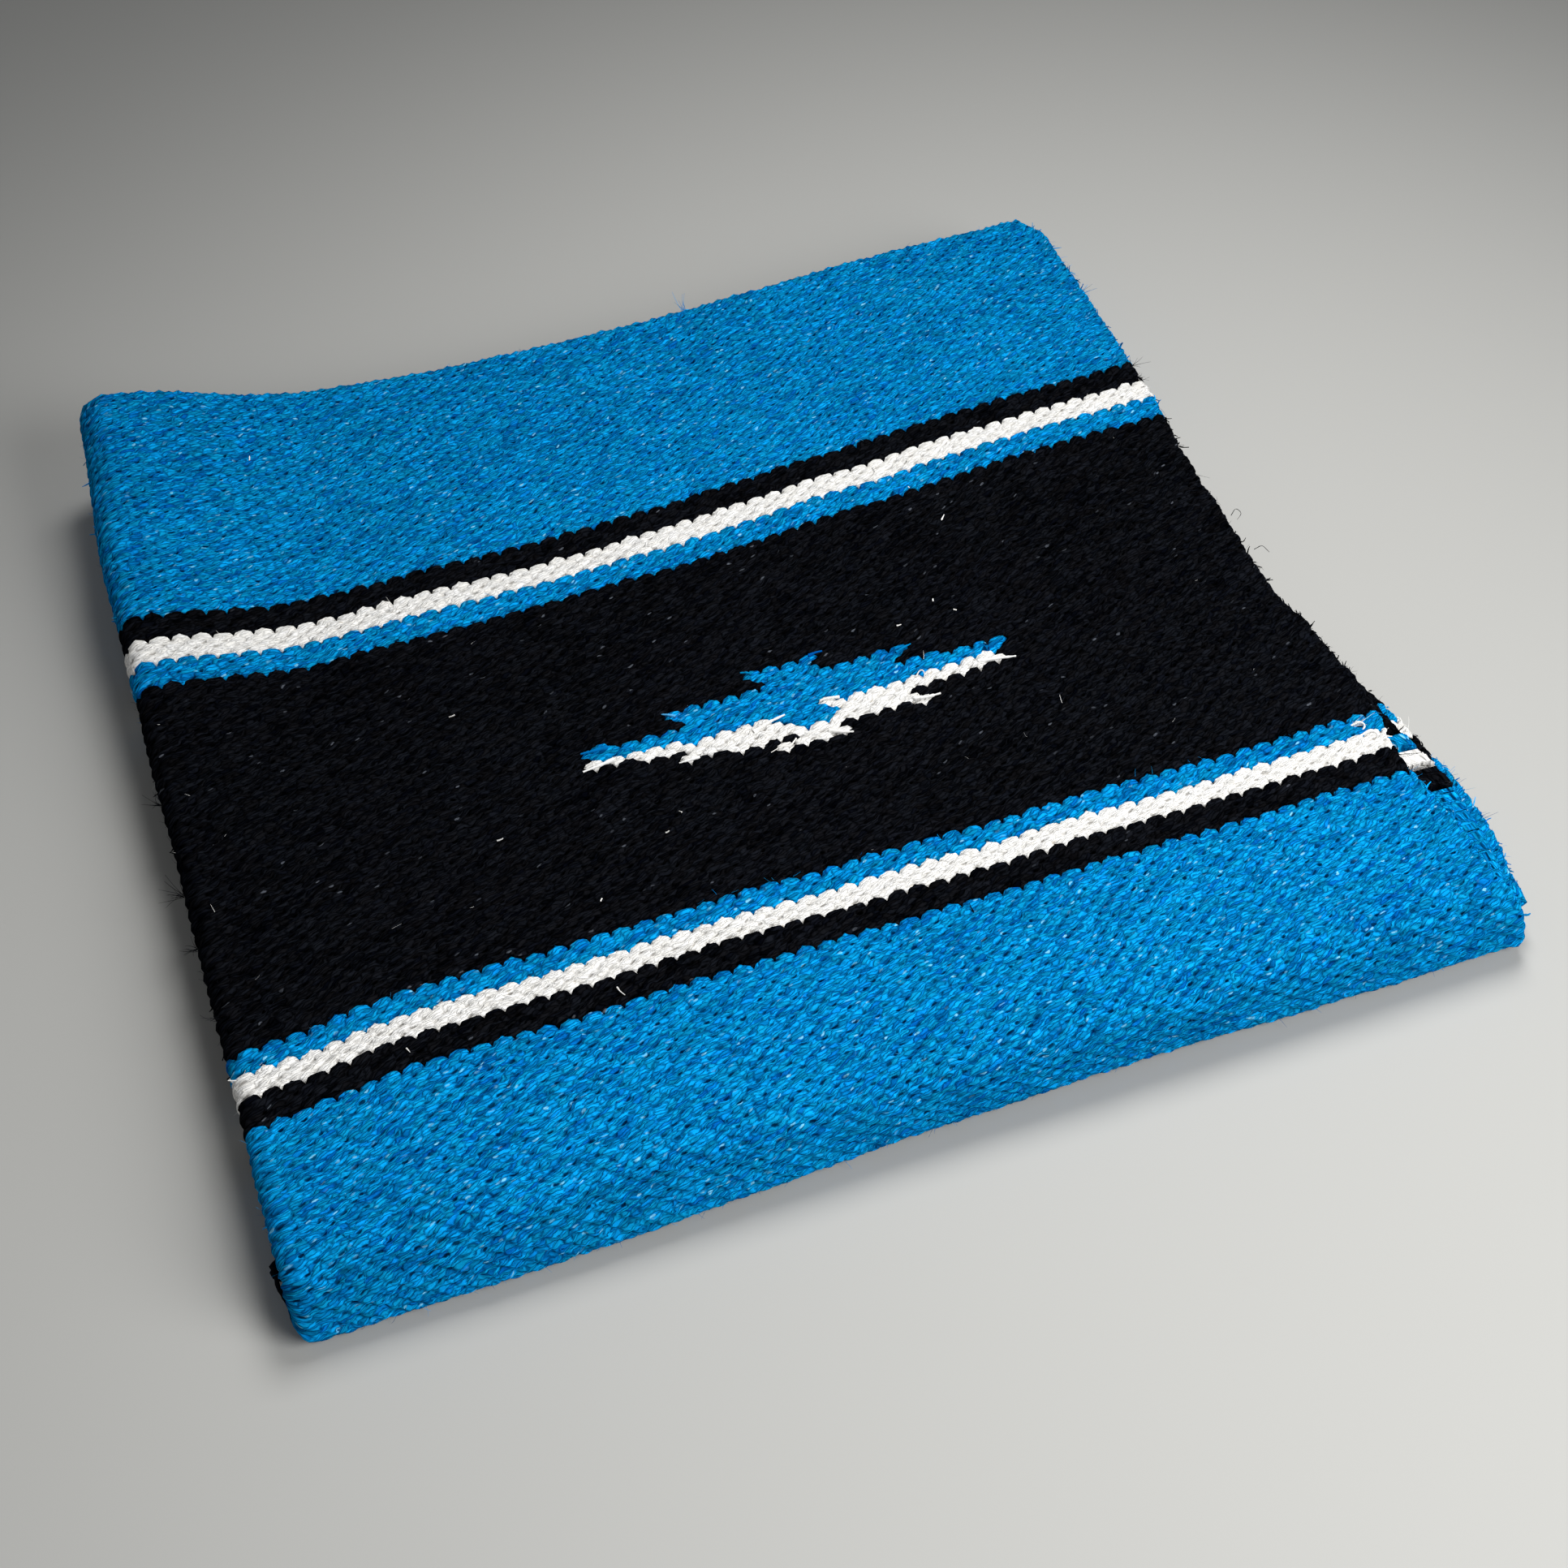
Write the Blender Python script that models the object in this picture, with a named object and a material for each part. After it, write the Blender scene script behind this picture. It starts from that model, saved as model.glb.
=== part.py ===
"""Woven saddle blanket, folded twice into quarters.

The weft runs along X from the right selvage of one layer, round the left fold, to the
right selvage of the layer under it. Every colour of weft is a band of its own. The doubled
cloth is then folded once more at the near edge, so that the upper half (layers 1 and 2)
lies on the lower half (layers 3 and 4) and opens about the near fold.

Plan positions are given as u, measured to the right from the face of the left fold, and
v, measured away from the face of the near fold. Lengths are in metres and +Z is up.
"""

import math
from collections import namedtuple

import bmesh
import bpy
from mathutils import Vector

# The folded cloth
PANEL_WIDTH = 0.4064
PANEL_LENGTH = 0.3830
CLOTH_THICKNESS = 0.0064
CLEARANCE = 0.0003
FAR_EDGE_BOW = 0.0030
FOLD_SLACK = 0.0080

# Widths of the colour bands, from the near fold to the far edge
NEAR_FIELD_WIDTH = 0.0637
NEAR_BLACK_WIDTH = 0.0106
NEAR_WHITE_WIDTH = 0.0091
NEAR_BLUE_WIDTH = 0.0082
CENTRE_FIELD_WIDTH = 0.1473
FAR_BLUE_WIDTH = 0.0105
FAR_WHITE_WIDTH = 0.0106
FAR_BLACK_WIDTH = 0.0109

# How the stripes wander from straight lines
LEFT_BEND_REACH = 0.0600
NEAR_LEFT_BEND = -0.0050
FAR_LEFT_BEND = 0.0040
RIGHT_BEND_START = 0.2000
NEAR_RIGHT_BEND = -0.0015
FAR_RIGHT_BEND = 0.0120
SECOND_LAYER_SKEW = -0.0080
THIRD_LAYER_SKEW = 0.0100

# The puffed left fold, which rises towards the far edge
RIM_LIFT = 0.0170
RIM_LIFT_START = 0.1500
RIM_REACH_NEAR = 0.0550
RIM_REACH_FAR = 0.0950
LOWER_LIFT_SHARE = 0.40

# The right selvages, as shares of the panel length and of the widest overhang
SELVAGE_OVERHANG = 0.0130
SELVAGE_PLACE_SHARES = (0.0, 0.10, 0.14, 0.17, 0.20, 0.23, 0.26, 0.30, 0.40, 0.55, 0.75, 1.0)
SELVAGE_EDGE_SHARES = {
    1: (0.08, 0.02, -0.05, -0.50, -0.35, -0.20, -0.20, -0.35, -0.65, -0.40, -0.30, 0.10),
    2: (0.15, 0.45, 0.42, 0.38, 0.27, 0.08, -0.10, -0.30, -0.55, -0.35, -0.30, 0.00),
    3: (0.25, 0.85, 1.00, 1.00, 0.98, 0.85, 0.65, 0.30, -0.15, -0.20, -0.15, -0.10),
    4: (0.10, 0.30, 0.35, 0.35, 0.30, 0.20, 0.10, 0.00, -0.40, -0.30, -0.20, 0.00),
}

# The stepped diamond woven into the centre field
DIAMOND_LENGTH = 0.1580
DIAMOND_WIDTH = 0.0390
DIAMOND_FROM_LEFT_FOLD = 0.2180
DIAMOND_FROM_FIELD_EDGE = 0.0719
TIP_SHIFT_LIMIT = 0.0010
DIAMOND_LEFT_NOTCH_SHARE = (-0.95, -0.05)
DIAMOND_RIGHT_NOTCH_SHARE = (0.90, -0.13)
DIAMOND_BLUE_EDGE_SHARES = (
    (-1.00, 0.17), (-0.48, 0.14), (-0.60, 0.48), (-0.08, 0.54), (-0.18, 0.97), (0.20, 1.00),
    (0.08, 0.65), (0.59, 0.60), (0.49, 0.24), (0.99, 0.14),
)
DIAMOND_WHITE_EDGE_SHARES = (
    (-1.00, -0.29), (-0.50, -0.40), (-0.61, -0.66), (-0.08, -0.76), (-0.22, -1.00),
    (0.17, -1.00), (0.10, -0.72), (0.60, -0.75), (0.49, -0.40), (1.00, -0.33),
)
DIAMOND_MIDDLE_SHARES = (
    (-0.57, -0.22), (-0.10, -0.26), (-0.16, -0.42), (0.03, -0.62), (0.18, -0.40),
    (0.09, -0.16), (0.50, -0.22), (0.58, -0.08),
)

# How finely the cloth is divided
LAYER_STEPS = 18
LAYER_STEP_POWER = 1.5
FOLD_ARC_STEPS = 8
NEAR_ARC_STEPS = 10
FIELD_STRIPS = 4
CENTRE_FIELD_STRIPS = 5
STRIPE_STRIPS = 1

LAYERS = 4
LAYER_PITCH = CLOTH_THICKNESS + CLEARANCE
STACK_HEIGHT = LAYERS * CLOTH_THICKNESS + (LAYERS - 1) * CLEARANCE
NEAR_FOLD_RADIUS = STACK_HEIGHT / 2
BAND_START = NEAR_FOLD_RADIUS + CLEARANCE
HINGE_V = NEAR_FOLD_RADIUS - FOLD_SLACK
DIAMOND_V = (
    NEAR_FIELD_WIDTH + NEAR_BLACK_WIDTH + NEAR_WHITE_WIDTH + NEAR_BLUE_WIDTH
    + DIAMOND_FROM_FIELD_EDGE
)
LAYER_SKEW = {1: 0.0, 2: SECOND_LAYER_SKEW, 3: THIRD_LAYER_SKEW, 4: 0.0}
LIFT_SHARE = {1: 1.0, 2: LOWER_LIFT_SHARE, 3: LOWER_LIFT_SHARE, 4: 0.0}

# The origin is under the middle of the folded blanket
ORIGIN = Vector(((PANEL_WIDTH + SELVAGE_OVERHANG) / 2, PANEL_LENGTH / 2, 0.0))

Half = namedtuple("Half", "name upper lower")
UPPER_HALF = Half("upper", 1, 2)
LOWER_HALF = Half("lower", 3, 4)

Colour = namedtuple("Colour", "name rgb roughness")
BLUE = Colour("blue_weft", (0.006, 0.23, 0.57), 0.85)
BLACK = Colour("black_weft", (0.006, 0.007, 0.011), 0.90)
WHITE = Colour("white_weft", (0.87, 0.86, 0.83), 0.85)

Band = namedtuple("Band", "name colour width strips")
BANDS = (
    Band("near_field", BLUE, NEAR_FIELD_WIDTH, FIELD_STRIPS),
    Band("near_black_stripe", BLACK, NEAR_BLACK_WIDTH, STRIPE_STRIPS),
    Band("near_white_stripe", WHITE, NEAR_WHITE_WIDTH, STRIPE_STRIPS),
    Band("near_blue_stripe", BLUE, NEAR_BLUE_WIDTH, STRIPE_STRIPS),
    Band("centre_field", BLACK, CENTRE_FIELD_WIDTH, CENTRE_FIELD_STRIPS),
    Band("far_blue_stripe", BLUE, FAR_BLUE_WIDTH, STRIPE_STRIPS),
    Band("far_white_stripe", WHITE, FAR_WHITE_WIDTH, STRIPE_STRIPS),
    Band("far_black_stripe", BLACK, FAR_BLACK_WIDTH, STRIPE_STRIPS),
    Band("far_field", BLUE, None, FIELD_STRIPS),
)
CENTRE_FIELD = 4


def clear_scene():
    """Remove whatever the file starts with."""
    for item in list(bpy.data.objects):
        bpy.data.objects.remove(item, do_unlink=True)


def ease(share):
    """Smooth step from 0 to 1, level at both ends."""
    share = min(max(share, 0.0), 1.0)
    return share * share * (3 - 2 * share)


def mix(first, second, share):
    """Value that lies the given share of the way from first to second."""
    return first + (second - first) * share


def lift(u, v):
    """Height of the puffed left rim over the flat stack."""
    along = (v - RIM_LIFT_START) / (PANEL_LENGTH - RIM_LIFT_START)
    reach = mix(RIM_REACH_NEAR, RIM_REACH_FAR, min(max(along, 0.0), 1.0))
    return RIM_LIFT * ease(along) * (1 - ease(u / reach))


def middle_height(layer, u, v):
    """Height of the middle of a layer's cloth."""
    flat = CLOTH_THICKNESS / 2 + (LAYERS - layer) * LAYER_PITCH
    return flat + LIFT_SHARE[layer] * lift(u, v)


def selvage(layer, v):
    """Where the right selvage of a layer lies at a distance from the near fold."""
    place = min(max(v / PANEL_LENGTH, 0.0), 1.0)
    edges = SELVAGE_EDGE_SHARES[layer]
    for low, high, first, second in zip(
        SELVAGE_PLACE_SHARES, SELVAGE_PLACE_SHARES[1:], edges, edges[1:]
    ):
        if place <= high:
            share = mix(first, second, ease((place - low) / (high - low)))
            return PANEL_WIDTH + SELVAGE_OVERHANG * share
    return PANEL_WIDTH + SELVAGE_OVERHANG * edges[-1]


def boundary(index, layer, u):
    """Distance from the near fold to the boundary before the band with this index.

    The stripes bend beside the left fold, skew in the layers inside the fold and, in the
    top layer, draw towards the far edge at the right.
    """
    if index == 0:
        return BAND_START
    skew = LAYER_SKEW[layer] * u / PANEL_WIDTH
    if index == len(BANDS):
        bow = FAR_EDGE_BOW * math.sin(math.pi * min(u / PANEL_WIDTH, 1.0))
        return PANEL_LENGTH - bow + min(skew, 0.0)
    near_group = index <= CENTRE_FIELD
    left = NEAR_LEFT_BEND if near_group else FAR_LEFT_BEND
    right = NEAR_RIGHT_BEND if near_group else FAR_RIGHT_BEND
    left *= 1 - ease(u / LEFT_BEND_REACH)
    right *= ease((u - RIGHT_BEND_START) / (PANEL_WIDTH - RIGHT_BEND_START))
    straight = sum(band.width for band in BANDS[:index])
    return straight + skew + left + (right if layer == 1 else 0.0)


def band_v(index, share, layer, u):
    """Distance from the near fold, a share of the way across a band at u."""
    gap = CLEARANCE / 2
    near = boundary(index, layer, u) + (gap if index else 0.0)
    far = boundary(index + 1, layer, u) - (gap if index + 1 < len(BANDS) else 0.0)
    return mix(near, far, share)


def layer_section(layer, fold_u, v_at):
    """Points of one layer from the fold to the selvage, as (u, v, middle height).

    The steps are shortest beside the fold, where the rim is lifted.
    """
    edge = selvage(layer, v_at(layer, PANEL_WIDTH))
    points = []
    for step in range(LAYER_STEPS + 1):
        u = mix(fold_u, edge, (step / LAYER_STEPS) ** LAYER_STEP_POWER)
        v = v_at(layer, u)
        points.append((u, v, middle_height(layer, u, v)))
    return points


def cloth_section(half, v_at):
    """Outer and inner points of the doubled cloth along one line of weft.

    The line runs from the selvage of the upper layer, round the left fold on a half
    circle, to the selvage of the lower layer.
    """
    thick = CLOTH_THICKNESS / 2
    fold_v = v_at(half.upper, 0.0)
    rise = middle_height(half.upper, 0.0, fold_v) - middle_height(half.lower, 0.0, fold_v)
    fold_u = rise / 2 + thick
    top = layer_section(half.upper, fold_u, v_at)
    bottom = layer_section(half.lower, fold_u, v_at)
    radius = (top[0][2] - bottom[0][2]) / 2
    centre = (top[0][2] + bottom[0][2]) / 2
    outer = [Vector((u, v, z + thick)) for u, v, z in reversed(top)]
    inner = [Vector((u, v, z - thick)) for u, v, z in reversed(top)]
    for step in range(1, FOLD_ARC_STEPS):
        turn = math.pi * step / FOLD_ARC_STEPS
        layer = half.upper if turn < math.pi / 2 else half.lower
        v = v_at(layer, fold_u - radius * math.sin(turn))
        for line, reach in ((outer, radius + thick), (inner, radius - thick)):
            place = (fold_u - reach * math.sin(turn), v, centre + reach * math.cos(turn))
            line.append(Vector(place))
    outer += [Vector((u, v, z - thick)) for u, v, z in bottom]
    inner += [Vector((u, v, z + thick)) for u, v, z in bottom]
    return outer, inner


def shell_mesh(name, outer, inner):
    """Closed mesh between two grids of points, one row for each line of weft."""
    mesh = bmesh.new()
    grids = [[[mesh.verts.new(p - ORIGIN) for p in row] for row in grid] for grid in (outer, inner)]
    rows, columns = len(outer), len(outer[0])
    for grid in grids:
        for row in range(rows - 1):
            for column in range(columns - 1):
                mesh.faces.new(
                    (grid[row][column], grid[row][column + 1],
                     grid[row + 1][column + 1], grid[row + 1][column])
                )
    rim = [(0, column) for column in range(columns)]
    rim += [(row, columns - 1) for row in range(1, rows)]
    rim += [(rows - 1, column) for column in range(columns - 2, -1, -1)]
    rim += [(row, 0) for row in range(rows - 2, 0, -1)]
    for (row, column), (next_row, next_column) in zip(rim, rim[1:] + rim[:1]):
        mesh.faces.new(
            (grids[0][row][column], grids[0][next_row][next_column],
             grids[1][next_row][next_column], grids[1][row][column])
        )
    bmesh.ops.recalc_face_normals(mesh, faces=mesh.faces[:])
    return finished_mesh(name, mesh)


def finished_mesh(name, mesh):
    """Turn a bmesh into mesh data and free it."""
    data = bpy.data.meshes.new(name)
    mesh.to_mesh(data)
    mesh.free()
    return data


def weft_material(colour):
    """One material for each colour of weft, made once."""
    found = bpy.data.materials.get(colour.name)
    if found:
        return found
    material = bpy.data.materials.new(colour.name)
    material.use_nodes = True
    shader = material.node_tree.nodes["Principled BSDF"]
    shader.inputs["Base Color"].default_value = (*colour.rgb, 1.0)
    shader.inputs["Roughness"].default_value = colour.roughness
    shader.inputs["Metallic"].default_value = 0.0
    return material


def add_object(name, data, colour, parent):
    """Link a named object of one colour under its parent, keeping it in place."""
    piece = bpy.data.objects.new(name, data)
    data.materials.append(weft_material(colour))
    bpy.context.collection.objects.link(piece)
    if parent is not None:
        piece.parent = parent
        for vertex in data.vertices:
            vertex.co -= parent.location
    return piece


def make_hinge():
    """Empty on the line about which the upper half opens."""
    hinge = bpy.data.objects.new("near_fold_hinge", None)
    hinge.location = Vector((ORIGIN.x, HINGE_V, NEAR_FOLD_RADIUS)) - ORIGIN
    bpy.context.collection.objects.link(hinge)
    return hinge


def make_band(half, index, parent):
    """One colour band of weft through both layers of a half."""
    band = BANDS[index]
    outer, inner = [], []
    for strip in range(band.strips + 1):
        share = strip / band.strips
        rows = cloth_section(half, lambda layer, u: band_v(index, share, layer, u))
        outer.append(rows[0])
        inner.append(rows[1])
    name = f"{half.name}_{band.name}"
    return add_object(name, shell_mesh(name, outer, inner), band.colour, parent)


def make_near_fold():
    """The doubled cloth that turns half round at the near edge.

    The section of the upper half is carried round the fold's centre line, while its
    selvages pass from those of layers 1 and 2 to those of layers 4 and 3.
    """
    first = cloth_section(UPPER_HALF, lambda layer, u: NEAR_FOLD_RADIUS)
    outer, inner = [], []
    widths = {layer: selvage(layer, NEAR_FOLD_RADIUS) for layer in (1, 2, 3, 4)}
    count = len(first[0])
    for step in range(NEAR_ARC_STEPS + 1):
        share = step / NEAR_ARC_STEPS
        turn = math.pi * share
        for grid, line in ((outer, first[0]), (inner, first[1])):
            row = []
            for place, point in enumerate(line):
                start, end = (1, 4) if place < count / 2 else (2, 3)
                height = point.z - NEAR_FOLD_RADIUS
                row.append(
                    Vector((
                        point.x * mix(1.0, widths[end] / widths[start], share),
                        NEAR_FOLD_RADIUS - height * math.sin(turn),
                        NEAR_FOLD_RADIUS + height * math.cos(turn),
                    ))
                )
            grid.append(row)
    return add_object("near_fold", shell_mesh("near_fold", outer, inner), BLUE, None)


def diamond_points(shares, layer):
    """Plan points of the stepped diamond in one layer."""
    shift = LAYER_SKEW[layer] * DIAMOND_FROM_LEFT_FOLD / PANEL_WIDTH
    return [
        Vector((
            DIAMOND_FROM_LEFT_FOLD + across * DIAMOND_LENGTH / 2,
            DIAMOND_V + shift + along * DIAMOND_WIDTH / 2,
        ))
        for across, along in shares
    ]


def drawn_in(points, distance):
    """Outline moved inwards by a distance, its sharp tips by no more than their limit.

    The points run anticlockwise, so inwards is to the left of each side.
    """
    moved = []
    for before, point, after in zip(points[-1:] + points[:-1], points, points[1:] + points[:1]):
        first, second = (point - before).normalized(), (after - point).normalized()
        inward = Vector((-first.y - second.y, first.x + second.x)).normalized()
        lean = max(inward.dot(Vector((-first.y, first.x))), distance / TIP_SHIFT_LIMIT)
        moved.append(point + inward * distance / lean)
    return moved


def prism_mesh(name, points, low, high):
    """Upright prism over a plan outline."""
    mesh = bmesh.new()
    base = [mesh.verts.new(Vector((p.x, p.y, low)) - ORIGIN) for p in points]
    top = [mesh.verts.new(Vector((p.x, p.y, high)) - ORIGIN) for p in points]
    mesh.faces.new(base)
    mesh.faces.new(top)
    for side in range(len(points)):
        after = (side + 1) % len(points)
        mesh.faces.new((base[side], base[after], top[after], top[side]))
    bmesh.ops.recalc_face_normals(mesh, faces=mesh.faces[:])
    return finished_mesh(name, mesh)


def anticlockwise(points):
    """The same outline, in anticlockwise order."""
    area = sum(a.x * b.y - b.x * a.y for a, b in zip(points, points[1:] + points[:1]))
    return points if area > 0 else points[::-1]


def cut_diamond(field, layer, parent):
    """Open the centre field of one layer where the diamond is woven in."""
    outline = [
        DIAMOND_LEFT_NOTCH_SHARE, *DIAMOND_BLUE_EDGE_SHARES,
        DIAMOND_RIGHT_NOTCH_SHARE, *reversed(DIAMOND_WHITE_EDGE_SHARES),
    ]
    middle = middle_height(layer, DIAMOND_FROM_LEFT_FOLD, DIAMOND_V)
    reach = (CLOTH_THICKNESS + CLEARANCE) / 2
    points = anticlockwise(diamond_points(outline, layer))
    name = f"diamond_cutter_{layer}"
    data = prism_mesh(name, points, middle - reach, middle + reach)
    cutter = add_object(name, data, BLACK, parent)
    cutter.hide_render = True
    cutter.display_type = "WIRE"
    opening = field.modifiers.new(f"Diamond {layer}", "BOOLEAN")
    opening.operation = "DIFFERENCE"
    opening.solver = "EXACT"
    opening.object = cutter


def make_diamond(half, layer, parent):
    """The blue and the white weft of the stepped diamond in one layer."""
    middle = middle_height(layer, DIAMOND_FROM_LEFT_FOLD, DIAMOND_V)
    low, high = middle - CLOTH_THICKNESS / 2, middle + CLOTH_THICKNESS / 2
    inside = [DIAMOND_LEFT_NOTCH_SHARE, *DIAMOND_MIDDLE_SHARES, DIAMOND_RIGHT_NOTCH_SHARE]
    side = "outer" if layer in (1, LAYERS) else "inner"
    for colour, edge in ((BLUE, DIAMOND_BLUE_EDGE_SHARES), (WHITE, DIAMOND_WHITE_EDGE_SHARES)):
        outline = inside + list(reversed(edge))
        points = anticlockwise(diamond_points(outline, layer))
        name = f"{half.name}_{side}_diamond_{colour.name.split('_')[0]}"
        data = prism_mesh(name, drawn_in(points, CLEARANCE), low, high)
        add_object(name, data, colour, parent)


def main():
    """Build the blanket."""
    clear_scene()
    hinge = make_hinge()
    for half, parent in ((UPPER_HALF, hinge), (LOWER_HALF, None)):
        bands = [make_band(half, index, parent) for index in range(len(BANDS))]
        for layer in (half.upper, half.lower):
            cut_diamond(bands[CENTRE_FIELD], layer, parent)
            make_diamond(half, layer, parent)
    make_near_fold()


main()
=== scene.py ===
"""Looks of the folded saddle blanket: packed weft in relief, selvages and a woven diamond.

The cloth is described in the weaver's own terms. Warp cords are numbered along the weft from
the left fold (0) to the selvage, positive in the top layer of a doubled half and negative in
the layer under it. Picks of weft are numbered from the near fold to the far edge. A pick
passes over the warps whose number is even or odd as its own, so each crossing that shows is
a diamond-shaped grain, and a colour boundary is the zigzag between two rows of grains.

Plan places are u, to the right from the face of the left fold, and v, away from the face of
the near fold. Lengths are in metres.
"""

from __future__ import annotations

import logging
import math
from dataclasses import dataclass, field
from enum import Enum
from typing import Iterable, Sequence

import bpy
import numpy as np
from mathutils import Matrix, Vector


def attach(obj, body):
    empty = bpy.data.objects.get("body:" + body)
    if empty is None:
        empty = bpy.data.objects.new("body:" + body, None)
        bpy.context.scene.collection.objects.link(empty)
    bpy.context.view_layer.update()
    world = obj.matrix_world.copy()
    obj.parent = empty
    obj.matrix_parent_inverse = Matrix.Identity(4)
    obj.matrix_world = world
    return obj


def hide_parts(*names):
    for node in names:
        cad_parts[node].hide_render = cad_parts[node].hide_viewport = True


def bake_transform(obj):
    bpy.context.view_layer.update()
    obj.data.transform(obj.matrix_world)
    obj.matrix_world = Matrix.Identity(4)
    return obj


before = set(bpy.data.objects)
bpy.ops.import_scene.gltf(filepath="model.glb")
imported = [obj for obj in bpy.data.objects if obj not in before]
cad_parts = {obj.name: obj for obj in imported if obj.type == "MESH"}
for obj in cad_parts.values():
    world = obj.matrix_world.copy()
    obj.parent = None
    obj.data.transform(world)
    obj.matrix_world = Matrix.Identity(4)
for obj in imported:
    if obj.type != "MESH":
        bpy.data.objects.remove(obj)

LOG = logging.getLogger("saddle_blanket")
Array = np.ndarray
Socket = bpy.types.NodeSocket
# Slack where two places or turns are compared.
TINY = 1e-6


def ease(share: Array) -> Array:
    """Smooth step from 0 to 1, level at both ends."""
    share = np.clip(share, 0.0, 1.0)
    return share * share * (3 - 2 * share)


def mix(first: Array, second: Array, share: Array) -> Array:
    """Value that lies the given share of the way from first to second."""
    return first + (second - first) * share


class Yarn(Enum):
    """The three colours of weft, by the name of their material slot."""

    BLUE = "blue_weft"
    BLACK = "black_weft"
    WHITE = "white_weft"


class Stretch(Enum):
    """The two stretches of a doubled half that a band is made in."""

    OVER = "over"
    UNDER = "under"

    @property
    def sign(self) -> int:
        """Sign of the stretch's warp numbers."""
        return 1 if self is Stretch.OVER else -1


@dataclass(frozen=True)
class Band:
    """One colour band of weft: its width, and its count of picks.

    The far field's width is left at 0, because it runs on to the cloth's end.
    """

    name: str
    yarn: Yarn
    width: float
    picks: int


@dataclass(frozen=True)
class Half:
    """Two layers of cloth joined at the left fold."""

    name: str
    body: str
    top: int
    bottom: int
    turn_sign: int

    def layer(self, stretch: Stretch) -> int:
        """Number of the layer that a stretch lies in."""
        return self.top if stretch is Stretch.OVER else self.bottom


UPPER = Half("upper", "upper_half", 1, 2, 1)
LOWER = Half("lower", "lower_half", 3, 4, -1)

BLUE, BLACK, WHITE = Yarn.BLUE, Yarn.BLACK, Yarn.WHITE
BANDS = (
    Band("near_field", BLUE, 0.0637, 20),
    Band("near_black_stripe", BLACK, 0.0112, 4),
    Band("near_white_stripe", WHITE, 0.0083, 4),
    Band("near_blue_stripe", BLUE, 0.0084, 3),
    Band("centre_field", BLACK, 0.1473, 60),
    Band("far_blue_stripe", BLUE, 0.0109, 4),
    Band("far_white_stripe", WHITE, 0.0096, 4),
    Band("far_black_stripe", BLACK, 0.0115, 4),
    Band("far_field", BLUE, 0.0, 44),
)
CENTRE_FIELD = 4
PANEL_LENGTH = 0.3830
FIRST_PICKS = tuple(sum(band.picks for band in BANDS[:i]) for i in range(len(BANDS) + 1))
# Pick number of the first pick's near side, where the near fold starts.
NEAR_EDGE = -0.5
# The diamond's colours by the numbers in its table of crossings, and the depth of their bed.
INLAYS = {1: BLUE, 2: WHITE}
INLAY_DEPTH = 0.0030


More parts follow.
